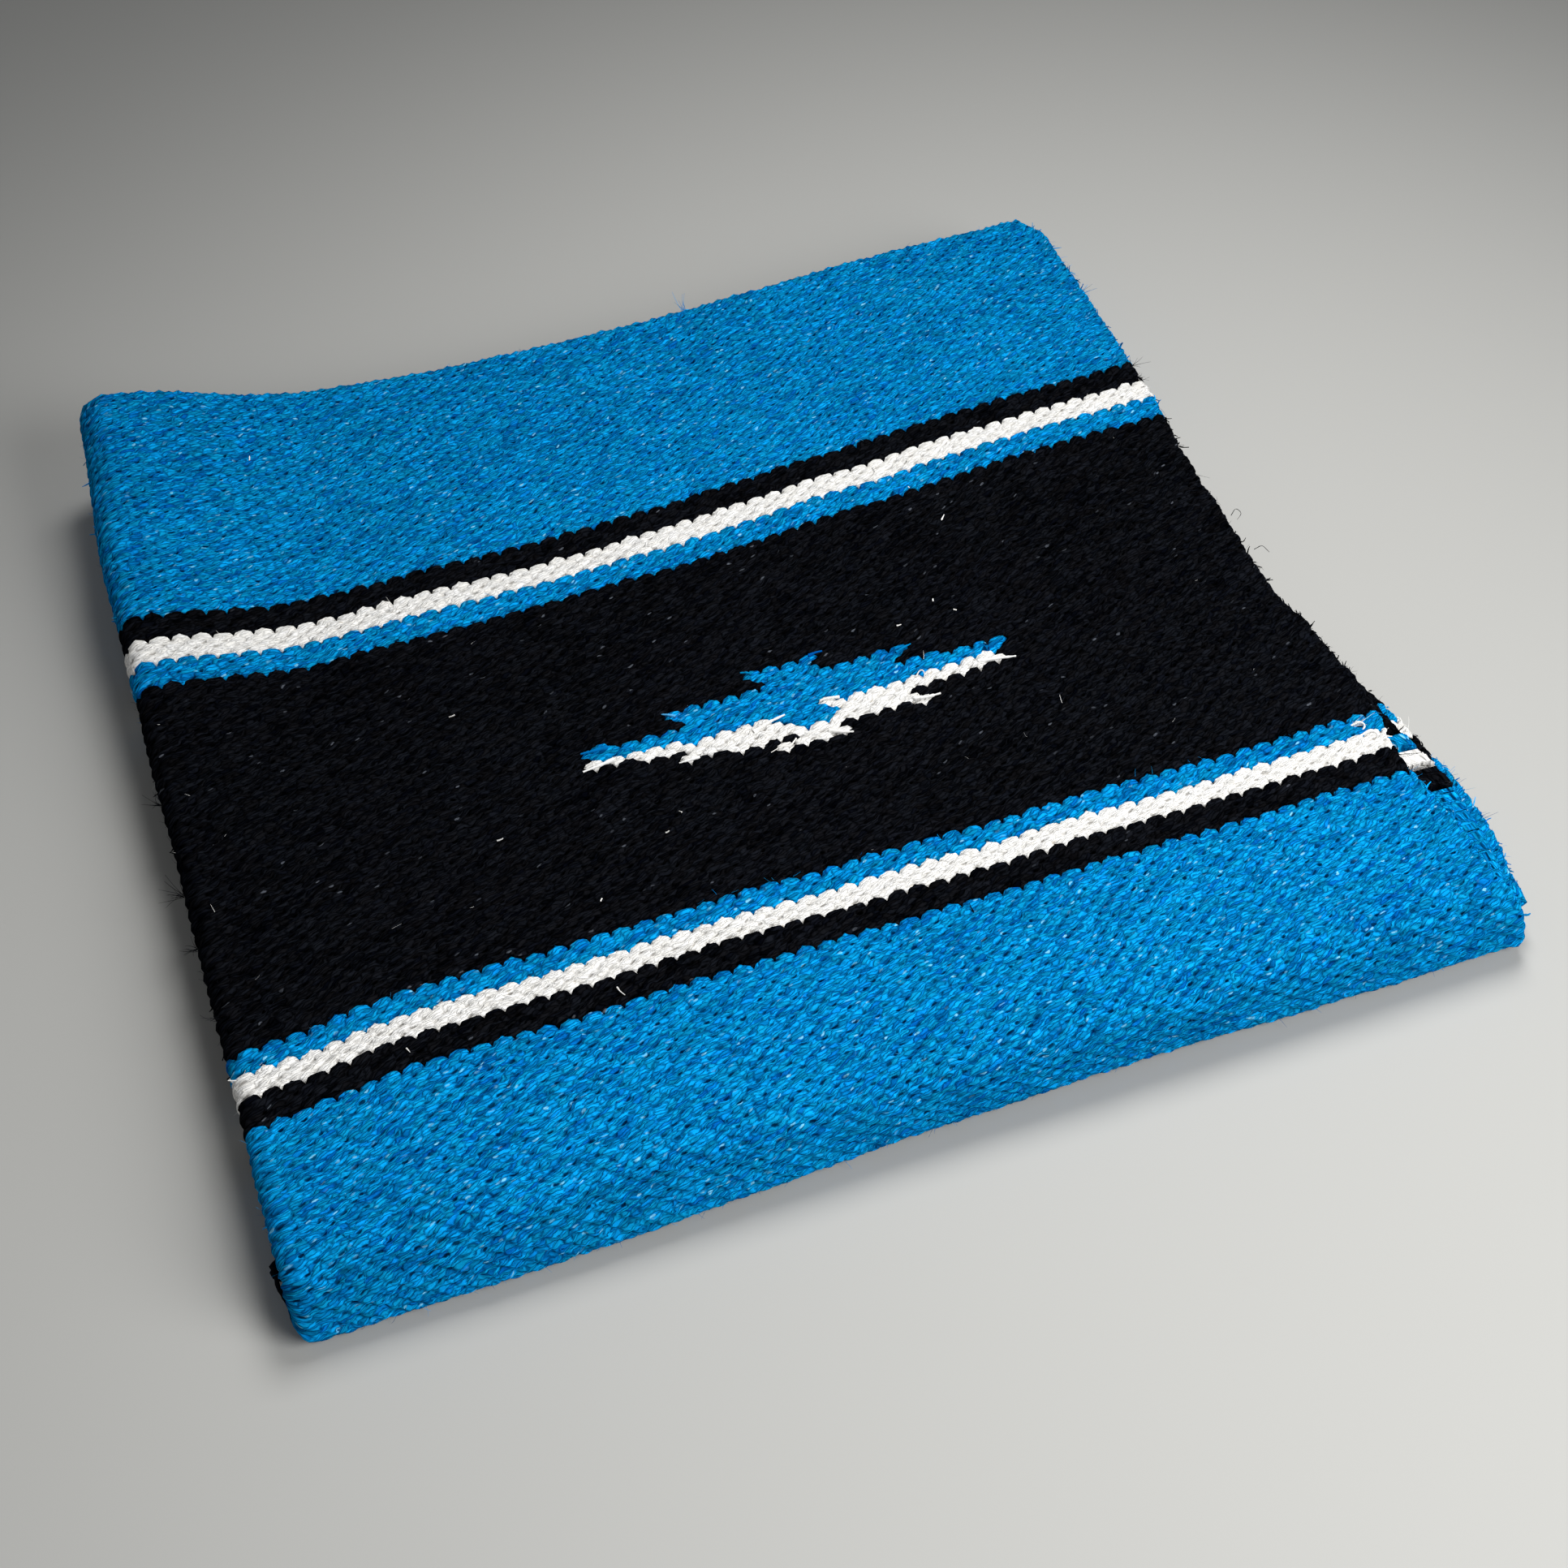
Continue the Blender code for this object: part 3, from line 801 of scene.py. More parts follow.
    def inner_columns(self, stretch: Stretch) -> Columns:
        """Columns of the inner face, from the seam to the edge that it shares."""
        warps, steps, side = self.plan.warps, self.edge_turn_steps, stretch.sign
        fold_end = self.left_seam_warp if stretch is Stretch.OVER else self.seam_warp
        fold = np.append(np.arange(self.seam_warp, fold_end, self.fold_step), fold_end)
        flat = np.arange(abs(fold_end) + 2, warps - 1, self.inner_step)
        inside = np.concatenate([side * fold, flat])
        shares = np.linspace(2, 1, steps + 1)
        place = side * np.concatenate([inside, np.full(steps + 1, float(warps))])
        weave = side * np.concatenate([inside, warps + shares * self.edge_turn_warps])
        station = side * np.concatenate([inside, warps + (2 - shares) * self.edge_turn_warps])
        turn = np.concatenate([np.full(len(inside), np.pi), shares * np.pi / 2])
        order = slice(None, None, side)
        return Columns(place[order], weave[order], turn[order], station[order])

    def grid(self, patch: Patch, columns: Columns, pick: Array, extra: float = 0.0) -> Array:
        """Add a grid of surface points to a patch.

        Args:
            patch: Patch that takes the points.
            columns: The grid's columns.
            pick: Pick number of each row.
            extra: Depth added to every point.

        Returns:
            The points' indices, rows by columns.
        """
        warp_grid, pick_grid = np.meshgrid(columns.weave, pick)
        layer = self.half.layer(Stretch.OVER if columns.weave[-1] > 0 else Stretch.UNDER)
        pick_grid = pick_grid + self.relief.rounding(warp_grid, pick_grid)
        depth = self.relief.depth(warp_grid, pick_grid, layer)
        depth = np.where(columns.turn[None, :] >= np.pi - TINY, 0.0, depth)
        points = self.place(columns.place, pick, columns.turn, depth + extra)
        station = np.broadcast_to(columns.station[None, :], warp_grid.shape)
        return patch.add_grid(points, warp_grid, pick_grid, station)

    def outer_face(
        self, patch: Patch, stretch: Stretch, picks: tuple[int, int], fineness: int
    ) -> OuterFace:
        """Add the outer face of the rows of grains from one pick to another.

        Args:
            patch: Patch that takes the points.
            stretch: Which stretch of the half.
            picks: First and last pick of weft.
            fineness: Points in each warp and in each pick.

        Returns:
            The face's points, rows, columns and triangles with their crossings.
        """
        first, last = picks
        at_end = last == FIRST_PICKS[-1] - 1
        low = first - 1
        high = last + 1 + (self.plan.end_turn_picks if at_end else 0)
        pick = np.linspace(low, high, (high - low) * fineness + 1)
        columns = self.columns(stretch, fineness)
        points = self.grid(patch, columns, pick)
        if at_end:
            edge = -1 if stretch is Stretch.OVER else 0
            middle = len(pick) - 1 - self.plan.end_turn_picks * fineness // 2
            beyond = np.arange(middle + 1, len(pick))
            points[beyond, edge] = points[2 * middle - beyond, edge]
        triangles, warps, rows = lattice_triangles(points, columns.weave, pick)
        keep = (rows >= first) & ((rows <= last) | at_end)
        return OuterFace(points, pick, columns, triangles[keep], warps[keep], rows[keep])

    def shell(
        self, stretch: Stretch, picks: tuple[int, int], fineness: int,
        colours: Array | None = None,
    ) -> Patch:
        """Closed shell of the rows of grains from one pick to another.

        The outer face is a fine grid whose triangles are kept where their crossing is in the
        rows asked for, so its long edges are zigzags. The inner face is a coarse grid. Walls
        are triangles zipped between the two, and the selvage is one rounded edge. Where
        another colour is inlaid, the outer face is sunk to make its bed.

        Args:
            stretch: Which stretch of the half.
            picks: First and last pick of weft.
            fineness: Points in each warp and in each pick.
            colours: Table of crossings, not 0 where another colour is inlaid.

        Returns:
            The finished patch.
        """
        first, last = picks
        patch = Patch()
        face = self.outer_face(patch, stretch, picks, fineness)
        whole = open_edges(face.triangles)
        triangles = face.triangles
        if colours is not None:
            inlaid = colours[face.warps, face.rows] > 0
            bed = self.grid(patch, face.columns, face.pick, INLAY_DEPTH)
            lower = np.arange(patch.count)
            lower[face.points.reshape(-1)] = bed.reshape(-1)
            rim = edge_difference(open_edges(triangles[~inlaid]), whole)
            patch.add_faces(lower[triangles[inlaid]])
            patch.add_faces(wall_faces(rim, lower))
            triangles = triangles[~inlaid]
        patch.add_faces(triangles)

        top = last - 1 if last == FIRST_PICKS[-1] - 1 else last
        rows = np.nonzero((face.pick >= first - TINY) & (face.pick <= top + TINY))[0]
        inner = self.grid(patch, self.inner_columns(stretch), face.pick[rows])
        edge, seam = (-1, 0) if stretch is Stretch.OVER else (0, -1)
        inner[:, edge] = face.points[rows, edge]
        patch.add_faces(grid_faces(inner)[:, ::-1])
        ends = grid_faces(np.stack([face.points[rows, seam], inner[:, seam]], axis=1))
        patch.add_faces(ends if stretch is Stretch.UNDER else ends[:, ::-1])

        stations = np.concatenate(patch.stations)
        low_row, high_row = face.points[rows[0]], face.points[rows[-1]]
        near = boundary_path(whole, low_row[0], low_row[-1])
        far = boundary_path(whole, high_row[-1], high_row[0])
        patch.add_faces(zip_paths(near, inner[0].tolist(), stations))
        patch.add_faces(zip_paths(far, inner[-1, ::-1].tolist(), stations))
        return patch

    def inlay(
        self, stretch: Stretch, picks: tuple[int, int], fineness: int, colours: Array, colour: int
    ) -> Patch:
        """Closed slab of the crossings of one inlaid colour, which fills its bed.

        Args:
            stretch: Which stretch of the half.
            picks: First and last pick of the band that holds the inlay.
            fineness: Points in each warp and in each pick, as the band's.
            colours: Table of crossings by colour number.
            colour: Number of the colour to build.

        Returns:
            The finished patch.
        """
        patch = Patch()
        face = self.outer_face(patch, stretch, picks, fineness)
        triangles = face.triangles[colours[face.warps, face.rows] == colour]
        floor = self.grid(patch, face.columns, face.pick, INLAY_DEPTH - self.plan.clearance)
        lower = np.arange(patch.count)
        lower[face.points.reshape(-1)] = floor.reshape(-1)
        patch.add_faces(triangles)
        patch.add_faces(lower[triangles][:, ::-1])
        patch.add_faces(wall_faces(open_edges(triangles), lower))
        return patch


def grid_faces(indices: Array) -> Array:
    """Two triangles for each cell of a grid of point indices."""
    near_left, near_right = indices[:-1, :-1].reshape(-1), indices[:-1, 1:].reshape(-1)
    far_left, far_right = indices[1:, :-1].reshape(-1), indices[1:, 1:].reshape(-1)
    first = np.stack([near_left, near_right, far_right], -1)
    second = np.stack([near_left, far_right, far_left], -1)
    return np.concatenate([first, second])


def wall_faces(edges: Array, lower: Array) -> Array:
    """Two triangles for each directed edge, down to the lower copies of its points."""
    start, end = edges[:, 0], edges[:, 1]
    first = np.stack([end, start, lower[start]], -1)
    second = np.stack([end, lower[start], lower[end]], -1)
    return np.concatenate([first, second])


# Angle between two faces from which their edge is shaded as sharp.
SHARP_ANGLE = math.radians(70)


def add_piece(name: str, patch: Patch, material: bpy.types.Material) -> bpy.types.Object:
    """Make a mesh object from a patch, with its lattice as a UV map.

    Args:
        name: Name of the object.
        patch: The finished patch.
        material: Finish of the piece.

    Returns:
        The linked object.
    """
    points = np.concatenate(patch.points)
    lattice = np.concatenate(patch.lattice)
    faces = np.concatenate(patch.faces)
    used, compact = np.unique(faces, return_inverse=True)
    faces = compact.reshape(-1, 3)
    mesh = bpy.data.meshes.new(name)
    mesh.vertices.add(len(used))
    mesh.vertices.foreach_set("co", points[used].astype(np.float32).reshape(-1))
    mesh.loops.add(len(faces) * 3)
    mesh.loops.foreach_set("vertex_index", faces.astype(np.int32).reshape(-1))
    mesh.polygons.add(len(faces))
    mesh.polygons.foreach_set("loop_start", np.arange(len(faces), dtype=np.int32) * 3)
    mesh.update(calc_edges=True)
    uv = mesh.uv_layers.new(name="weave")
    uv.data.foreach_set("uv", lattice[used][faces.reshape(-1)].astype(np.float32).reshape(-1))
    mesh.polygons.foreach_set("use_smooth", np.ones(len(faces), dtype=bool))
    mesh.set_sharp_from_angle(angle=SHARP_ANGLE)
    mesh.materials.append(material)
    mesh.validate()
    piece = bpy.data.objects.new(name, mesh)
    bpy.context.collection.objects.link(piece)
    return piece


@dataclass(frozen=True)
class Diamond:
    """Stepped diamond woven into the centre field: its place and the outlines of its colours."""

    centre_u: float = 0.2180
    centre_v: float = 0.1635
    half_length: float = 0.0790
    half_width: float = 0.0195
    warps: tuple = (20, 100)
    field_margin_picks: int = 2
    table_size: tuple = (256, 160)
    left_notch: tuple = (-0.95, -0.05)
    right_notch: tuple = (0.90, -0.13)
    middle: tuple = (
        (-0.57, -0.22), (-0.10, -0.26), (-0.16, -0.42), (0.03, -0.62),
        (0.18, -0.40), (0.09, -0.16), (0.50, -0.22), (0.58, -0.08),
    )
    edges: tuple = (
        ((-1.00, 0.17), (-0.48, 0.14), (-0.60, 0.48), (-0.08, 0.54), (-0.18, 0.97),
         (0.20, 1.00), (0.08, 0.65), (0.59, 0.60), (0.49, 0.24), (0.99, 0.14)),
        ((-1.00, -0.29), (-0.50, -0.40), (-0.61, -0.66), (-0.08, -0.76), (-0.22, -1.00),
         (0.17, -1.00), (0.10, -0.72), (0.60, -0.75), (0.49, -0.40), (1.00, -0.33)),
    )

    def outline(self, colour: int) -> Array:
        """Outline of one colour in shares of the diamond's half size.

        Args:
            colour: Number of the colour among the inlays.

        Returns:
            Corners, one to a row.
        """
        edge = self.edges[colour - 1]
        return np.array([self.left_notch, *self.middle, self.right_notch, *reversed(edge)])

    def colours(self, cloth: DoubledCloth, stretch: Stretch) -> Array:
        """Colour number of each crossing: 0 black, 1 blue, 2 white.

        Args:
            cloth: The half that holds the diamond.
            stretch: Which stretch of it.

        Returns:
            Table by warp and pick, in which negative warps count from the end.
        """
        plan, margin = cloth.plan, self.field_margin_picks
        warp = stretch.sign * np.arange(*self.warps)
        pick = np.arange(FIRST_PICKS[CENTRE_FIELD] + margin, FIRST_PICKS[CENTRE_FIELD + 1] - margin)
        points = cloth.place(warp, pick, 0.0 * warp, np.zeros((len(pick), len(warp))))
        skew = plan.layer_skews[cloth.half.layer(stretch)] * self.centre_u / plan.panel_width
        x = (points[..., 0] + plan.origin[0] - self.centre_u) / self.half_length
        y = (points[..., 1] + plan.origin[1] - self.centre_v - skew) / self.half_width
        table = np.zeros(self.table_size, int)
        place = np.ix_(warp, pick)
        for colour in INLAYS:
            inside = self.inside(self.outline(colour), x, y).T
            table[place] = np.where(inside, colour, table[place])
        return table

    @staticmethod
    def inside(outline: Array, x: Array, y: Array) -> Array:
        """Whether points lie in an outline, by the count of its edges to their right."""
        result = np.zeros(x.shape, bool)
        for (x1, y1), (x2, y2) in zip(outline, np.roll(outline, -1, axis=0)):
            crosses = (y1 > y) != (y2 > y)
            at = x1 + (x2 - x1) * (y - y1) / (y2 - y1 if y2 != y1 else 1.0)
            result ^= crosses & (x < at)
        return result


@dataclass(frozen=True)
class Strand:
    """Loose end of yarn.

    Attributes:
        yarn: Its colour.
        half: Half that it hangs on.
        radii: Radius at its root and at its tip, in millimetres.
        places: Places that it passes, as u, v and height, in millimetres.
    """

    yarn: Yarn
    half: Half
    radii: tuple
    places: tuple

    def path(self) -> Array:
        """Points spread evenly along the places, with the corners rounded by averaging."""
        count, rounds = 15, 3
        places = np.array(self.places, float) / 1000
        run = np.append(0, np.cumsum(np.linalg.norm(np.diff(places, axis=0), axis=1)))
        at = np.linspace(0, run[-1], count)
        path = np.stack([np.interp(at, run, places[:, axis]) for axis in range(3)], axis=1)
        for _ in range(rounds):
            path[1:-1] = (path[:-2] + 2 * path[1:-1] + path[2:]) / 4
        return path


@dataclass(frozen=True)
class Tuft:
    """Bunch of fibres that stick out.

    Attributes:
        yarn: Their colour.
        half: Half that they hang on.
        root: Place of their roots, as u, v and height, in millimetres.
        toward: Where they point, as steps of u, v and height.
        length: Greatest length, in millimetres.
        fibres: Count of fibres.
    """

    yarn: Yarn
    half: Half
    root: tuple
    toward: tuple
    length: float
    fibres: int


# Radii of yarn ends at the root and at the tip, in millimetres.
THICK, THIN, THREAD, HAIR = (0.85, 0.30), (0.60, 0.25), (0.30, 0.12), (0.15, 0.07)


def lying(yarn: Yarn, radii: tuple, *places: tuple) -> Strand:
    """Strand that lies on the diamond over three places, u and v, and stands up at the middle."""
    heights = (25.8, 26.2, 26.0)
    return Strand(yarn, UPPER, radii, tuple((*place, z) for place, z in zip(places, heights)))


STRANDS = (
    lying(BLUE, THICK, (149.1, 165.9), (144.7, 165.6), (139.6, 165.9)),
    lying(WHITE, THICK, (149.6, 159.9), (143.7, 158.6), (138.1, 158.0)),
    lying(WHITE, THIN, (177.4, 150.8), (173.5, 150.4), (170.0, 150.5)),
    Strand(WHITE, UPPER, THREAD, ((211.2, 147.3, 25.8), (208.0, 144.2, 26.2), (205.5, 145.5, 26.3),
                                  (200.9, 144.1, 26.0))),
    lying(WHITE, THICK, (223.1, 146.5), (226.8, 144.3), (230.8, 143.2)),
    lying(WHITE, THICK, (256.0, 150.3), (260.6, 149.0), (265.6, 149.2)),
    lying(WHITE, THICK, (283.9, 158.8), (291.0, 157.4), (297.4, 156.3)),
    lying(BLUE, THICK, (288.8, 163.7), (292.9, 164.7), (296.7, 166.2)),
    lying(BLUE, THIN, (258.3, 172.8), (261.5, 173.8), (264.7, 174.7)),
    lying(BLUE, THIN, (206.8, 180.7), (205.1, 181.7), (203.2, 182.4)),
    lying(BLUE, THIN, (228.7, 182.1), (231.5, 182.3), (233.9, 182.3)),
    lying(BLUE, THIN, (175.5, 171.2), (173.2, 172.4), (171.2, 173.5)),
    Strand(WHITE, UPPER, THICK, ((198.5, 155.4, 25.4), (205.0, 157.4, 26.0), (211.2, 158.8, 25.8))),
    lying(WHITE, THIN, (231.9, 160.0), (228.4, 160.5), (224.8, 160.6)),
    Strand(WHITE, UPPER, THREAD, ((260.7, 159.6, 25.8), (262.6, 161.3, 26.8), (263.8, 160.4, 27.2),
                                  (263.3, 157.8, 25.8))),
    Strand(BLACK, UPPER, THREAD, ((289.9, 167.9, 25.9), (290.2, 164.8, 26.5), (289.6, 162.1, 26.0))),
    Strand(WHITE, UPPER, THREAD, ((122.4, 69.7, 25.8), (122.6, 67.6, 26.6), (123.8, 65.9, 26.1))),
    Strand(WHITE, UPPER, THREAD, ((54.5, 70.5, 25.9), (55.2, 68.4, 26.3))),
    Strand(BLACK, UPPER, THREAD, ((239.3, 58.1, 25.8), (238.9, 60.0, 26.4), (239.3, 61.5, 26.0))),
    Strand(BLACK, UPPER, HAIR, ((404.0, 197.5, 22.0), (406.6, 199.4, 23.6), (408.0, 196.4, 23.0),
                                  (405.2, 194.8, 22.0))),
    Strand(BLACK, UPPER, HAIR, ((403.5, 178.0, 22.5), (407.0, 178.6, 23.0), (409.0, 176.0, 21.0))),
    Strand(WHITE, UPPER, THIN, ((392.0, 86.4, 25.0), (395.5, 87.0, 26.6), (397.4, 84.8, 26.2),
                                (395.0, 83.4, 25.2))),
    Strand(WHITE, UPPER, THIN, ((394.0, 82.0, 25.0), (398.0, 82.2, 26.4), (399.8, 79.6, 25.6),
                                (397.2, 78.0, 24.6))),
    Strand(BLUE, LOWER, THIN, ((408.0, 6.5, 10.0), (413.0, 5.2, 10.4), (416.6, 4.2, 9.4),
                               (418.4, 5.4, 8.0))),
    Strand(BLACK, LOWER, (1.5, 1.2), ((2.6, 20.0, 13.2), (-0.2, 18.2, 13.6), (-1.0, 15.8, 12.6),
                                      (1.6, 14.4, 12.0))),
    Strand(BLACK, LOWER, (1.0, 0.5), ((0.4, 17.0, 12.8), (-0.8, 13.0, 12.0), (0.2, 9.0, 11.0),
                                      (1.2, 5.4, 10.4))),
)
TUFTS = (
    Tuft(BLACK, UPPER, (1.0, 134.4, 20.0), (-1.0, 0.2, 0.5), 4.5, 12),
    Tuft(BLACK, UPPER, (2.5, 102.4, 24.5), (-1.0, -0.2, 0.8), 3.5, 10),
    Tuft(BLACK, UPPER, (1.0, 156.8, 20.5), (-1.0, 0.1, 0.6), 5.5, 14),
    Tuft(BLACK, UPPER, (1.0, 196.4, 22.0), (-1.0, 0.3, 0.5), 4.0, 12),
    Tuft(BLUE, UPPER, (248.4, 380.0, 24.0), (0.2, 1.0, 0.8), 4.5, 12),
    Tuft(BLUE, UPPER, (404.5, 334.1, 24.0), (1.0, 0.1, 0.3), 4.5, 14),
    Tuft(BLACK, UPPER, (403.0, 285.6, 24.0), (1.0, 0.1, 0.3), 5.5, 14),
    Tuft(BLACK, UPPER, (403.0, 278.5, 23.5), (1.0, -0.3, 0.2), 4.0, 10),
    Tuft(WHITE, UPPER, (393.5, 86.4, 25.0), (0.8, -0.3, 0.8), 4.0, 10),
    Tuft(BLUE, LOWER, (417.0, 62.5, 12.0), (1.0, 0.0, 0.5), 5.0, 12),
    Tuft(BLUE, LOWER, (418.0, 44.0, 12.0), (1.0, -0.1, 0.4), 5.0, 12),
)
# Places of the lint on the top, as u and v in millimetres.
LINT = (
    (285.6, 264.7), (294.4, 249.5), (299.1, 229.0), (263.3, 184.5), (280.2, 191.2), (285.5, 184.9),
    (163.9, 129.6), (156.1, 123.3), (127.5, 103.5), (102.7, 139.4), (103.9, 198.0), (63.5, 345.3),
)


class LooseYarn:
    """Yarn ends, tufts, lint and fuzz, gathered by the piece that they go into."""

    root_depth = 0.0011
    strand_sides = 6
    tuft_radii = (0.00011, 0.00004)
    tuft_spread = 0.0004
    tuft_fan = 0.35
    tuft_curl = 0.4
    fuzz_radii = (0.00007, 0.00003)
    fuzz_length = (0.0008, 0.0026)
    fuzz_stand = (0.25, 1.10)
    fuzz_curl = 0.35
    fray_radii = (0.00034, 0.00016)
    lint_radii = (0.00028, 0.00018)
    lint_length = 0.0016
    lint_sink = 0.0003
    lint_fan = 0.7
    lint_rise = 0.05
    lint_curl = 0.25
    lint_share = 0.03
    unevenness = 0.16
    hair_places = 6
    grain_range = 400

    def __init__(self, plan: ClothPlan) -> None:
        """Start without any.

        Args:
            plan: Sizes of the folded cloth.
        """
        self.plan = plan
        self.random = np.random.default_rng(11)
        self.patches: dict[tuple[str, Yarn], Patch] = {}

    def add(self, body: str, yarn: Yarn, paths: Array, radii: tuple, sides: int = 3) -> None:
        """Add closed tubes that taper along their paths.

        A ring's points lie on a circle in the plane square to the path there, and each tube
        takes its shade from one grain of the weave, drawn at random.

        Args:
            body: Body that they move with, or the near fold.
            yarn: Their colour.
            paths: Tubes, places along each, and coordinates in the shared frame.
            radii: Radius at the root and at the tip.
            sides: Sides of each tube.
        """
        patch = self.patches.setdefault((body, yarn), Patch())
        count, steps = paths.shape[:2]
        along = np.gradient(paths, axis=1)
        along /= np.linalg.norm(along, axis=2, keepdims=True)
        helper = np.eye(3)[np.argmin(np.abs(along.mean(axis=1)), axis=1)][:, None]
        across = np.cross(along, helper)
        across /= np.linalg.norm(across, axis=2, keepdims=True)
        turn = (np.arange(sides) * 2 * np.pi / sides)[:, None]
        square = np.cross(along, across)
        ring = np.cos(turn) * across[:, :, None] + np.sin(turn) * square[:, :, None]
        uneven = 1 + self.unevenness * self.random.normal(0, 1, (count, steps)).clip(-2, 2)
        radius = (np.linspace(*radii, steps) * uneven)[..., None, None]
        points = paths[:, :, None] + radius * ring
        points[..., 2] = np.maximum(points[..., 2], self.plan.floor_gap)
        grains = 2.0 * self.random.integers(0, self.grain_range, (2, count, 1, 1))
        grains = grains + np.zeros((1, steps, sides))
        warp, pick = grains.reshape(2, count * steps, sides)
        index = patch.add_grid(points.reshape(-1, sides, 3), warp, pick, warp)
        index = index.reshape(count, steps, sides)
        around = np.roll(index, -1, axis=2)
        low, low_next, high, high_next = index[:, :-1], around[:, :-1], index[:, 1:], around[:, 1:]
        patch.add_faces(np.stack([low, low_next, high_next], axis=-1))
        patch.add_faces(np.stack([low, high_next, high], axis=-1))
        for side in range(1, sides - 1):
            patch.add_faces(index[:, 0, [0, side + 1, side]])
            patch.add_faces(index[:, -1, [0, side, side + 1]])

    def hairs(self, roots: Array, aims: Array, lengths: Array, curl: float) -> Array:
        """Curved paths: a straight run along the aim and a random curl that grows as its square.

        Args:
            roots: Starting places.
            aims: Directions.
            lengths: Length of each.
            curl: Size of the curl, as a share of the length.

        Returns:
            Paths, places along each, and coordinates.
        """
        share = np.linspace(0, 1, self.hair_places)[None, :, None]
        bend = self.random.normal(0, curl, roots.shape)[:, None]
        return roots[:, None] + lengths[:, None, None] * (aims[:, None] * share + bend * share**2)

    def fuzz(
        self, body: str, cloth: DoubledCloth, picks: tuple, warps: tuple, turns: tuple,
        rows: int, each: int, radii: tuple = fuzz_radii,
    ) -> None:
        """Scatter fibres over a stretch of surface, in rows at random picks.

        Args:
            body: Body that they move with, or the near fold.
            cloth: Half that they grow on.
            picks: Range of picks.
            warps: Range of warps.
            turns: Range of turns round the selvage.
            rows: Count of rows.
            each: Fibres in each row.
            radii: Radius at the root and at the tip.
        """
        for pick in self.random.uniform(*picks, rows):
            warp, turn = self.random.uniform(*warps, each), self.random.uniform(*turns, each)
            roots, crests = (
                cloth.place(warp, np.array([pick]), turn, np.full((1, each), depth))[0]
                for depth in (self.root_depth, 0.0)
            )
            normals = (crests - roots) / self.root_depth
            drift = np.cross(normals, self.random.normal(0, 1, (each, 3)))
            drift /= np.linalg.norm(drift, axis=1, keepdims=True)
            aims = drift + normals * self.random.uniform(*self.fuzz_stand, (each, 1))
            lengths = self.random.uniform(*self.fuzz_length, each)
            paths = self.hairs(roots, aims, lengths, self.fuzz_curl)
            last_pick = FIRST_PICKS[-1] - 1
            yarn = BANDS[np.searchsorted(FIRST_PICKS, np.clip(pick, 0, last_pick), "right") - 1].yarn
            stray = (self.random.random(each) < self.lint_share) & (yarn is BLACK)
            self.add(body, yarn, paths[~stray], radii)
            if stray.any():
                self.add(body, WHITE, paths[stray], self.fuzz_radii)

    def build(self) -> None:
        """Add the strands, the tufts, the lint and the fuzz of every side that shows."""
        plan, random = self.plan, self.random
        origin = np.append(plan.origin, 0)
        for strand in STRANDS:
            radii = tuple(radius / 1000 for radius in strand.radii)
            path = strand.path()[None] - origin
            self.add(strand.half.body, strand.yarn, path, radii, self.strand_sides)
        for tuft in TUFTS:
            shape = (tuft.fibres, 3)
            roots = np.array(tuft.root) / 1000 - origin + random.normal(0, self.tuft_spread, shape)
            aims = np.array(tuft.toward) + random.normal(0, self.tuft_fan, shape)
            lengths = tuft.length / 1000 * random.uniform(0.5, 1, tuft.fibres)
            paths = self.hairs(roots, aims, lengths, self.tuft_curl)
            self.add(tuft.half.body, tuft.yarn, paths, self.tuft_radii)
        for u, v in np.array(LINT) / 1000:
            height = plan.middle_height(np.array(1), np.array(u), np.array(v)) + plan.half_thickness
            root = np.array([[u, v, height - self.lint_sink]]) - origin
            aim = np.append(random.normal(0, self.lint_fan, 2), self.lint_rise)[None]
            paths = self.hairs(root, aim, np.array([self.lint_length]), self.lint_curl)
            self.add(UPPER.body, WHITE, paths, self.lint_radii)
        self.cover()

    def cover(self) -> None:
        """Scatter the fuzz: left folds, far ends, frayed selvages, the top and the near fold."""
        plan, relief, edge, crest = self.plan, WeaveRelief(), self.plan.warps, (0, 0)
        end = float(FIRST_PICKS[-1])
        picks, end_picks = (0, end - 2), (end - 1.5, end + plan.end_turn_picks)
        for half in (UPPER, LOWER):
            cloth = DoubledCloth(plan, relief, half)
            self.fuzz(half.body, cloth, picks, (-5, 3), crest, rows=90, each=3)
            self.fuzz(half.body, cloth, end_picks, (-edge, edge), crest, rows=12, each=14)
            for warp in (-edge, edge):
                for radii in (self.fuzz_radii, self.fray_radii):
                    selvage = (warp, warp), (0.3, np.pi / 2)
                    self.fuzz(half.body, cloth, picks, *selvage, rows=110, each=1, radii=radii)
            self.fuzz(half.body, cloth, picks, (-4, 1), crest, rows=60, each=1, radii=self.fray_radii)
        top = DoubledCloth(plan, relief, UPPER)
        self.fuzz(UPPER.body, top, picks, (2, edge), crest, rows=110, each=13)
        self.fuzz("near_fold", top, (-15, NEAR_EDGE), (-1, edge), crest, rows=18, each=16)


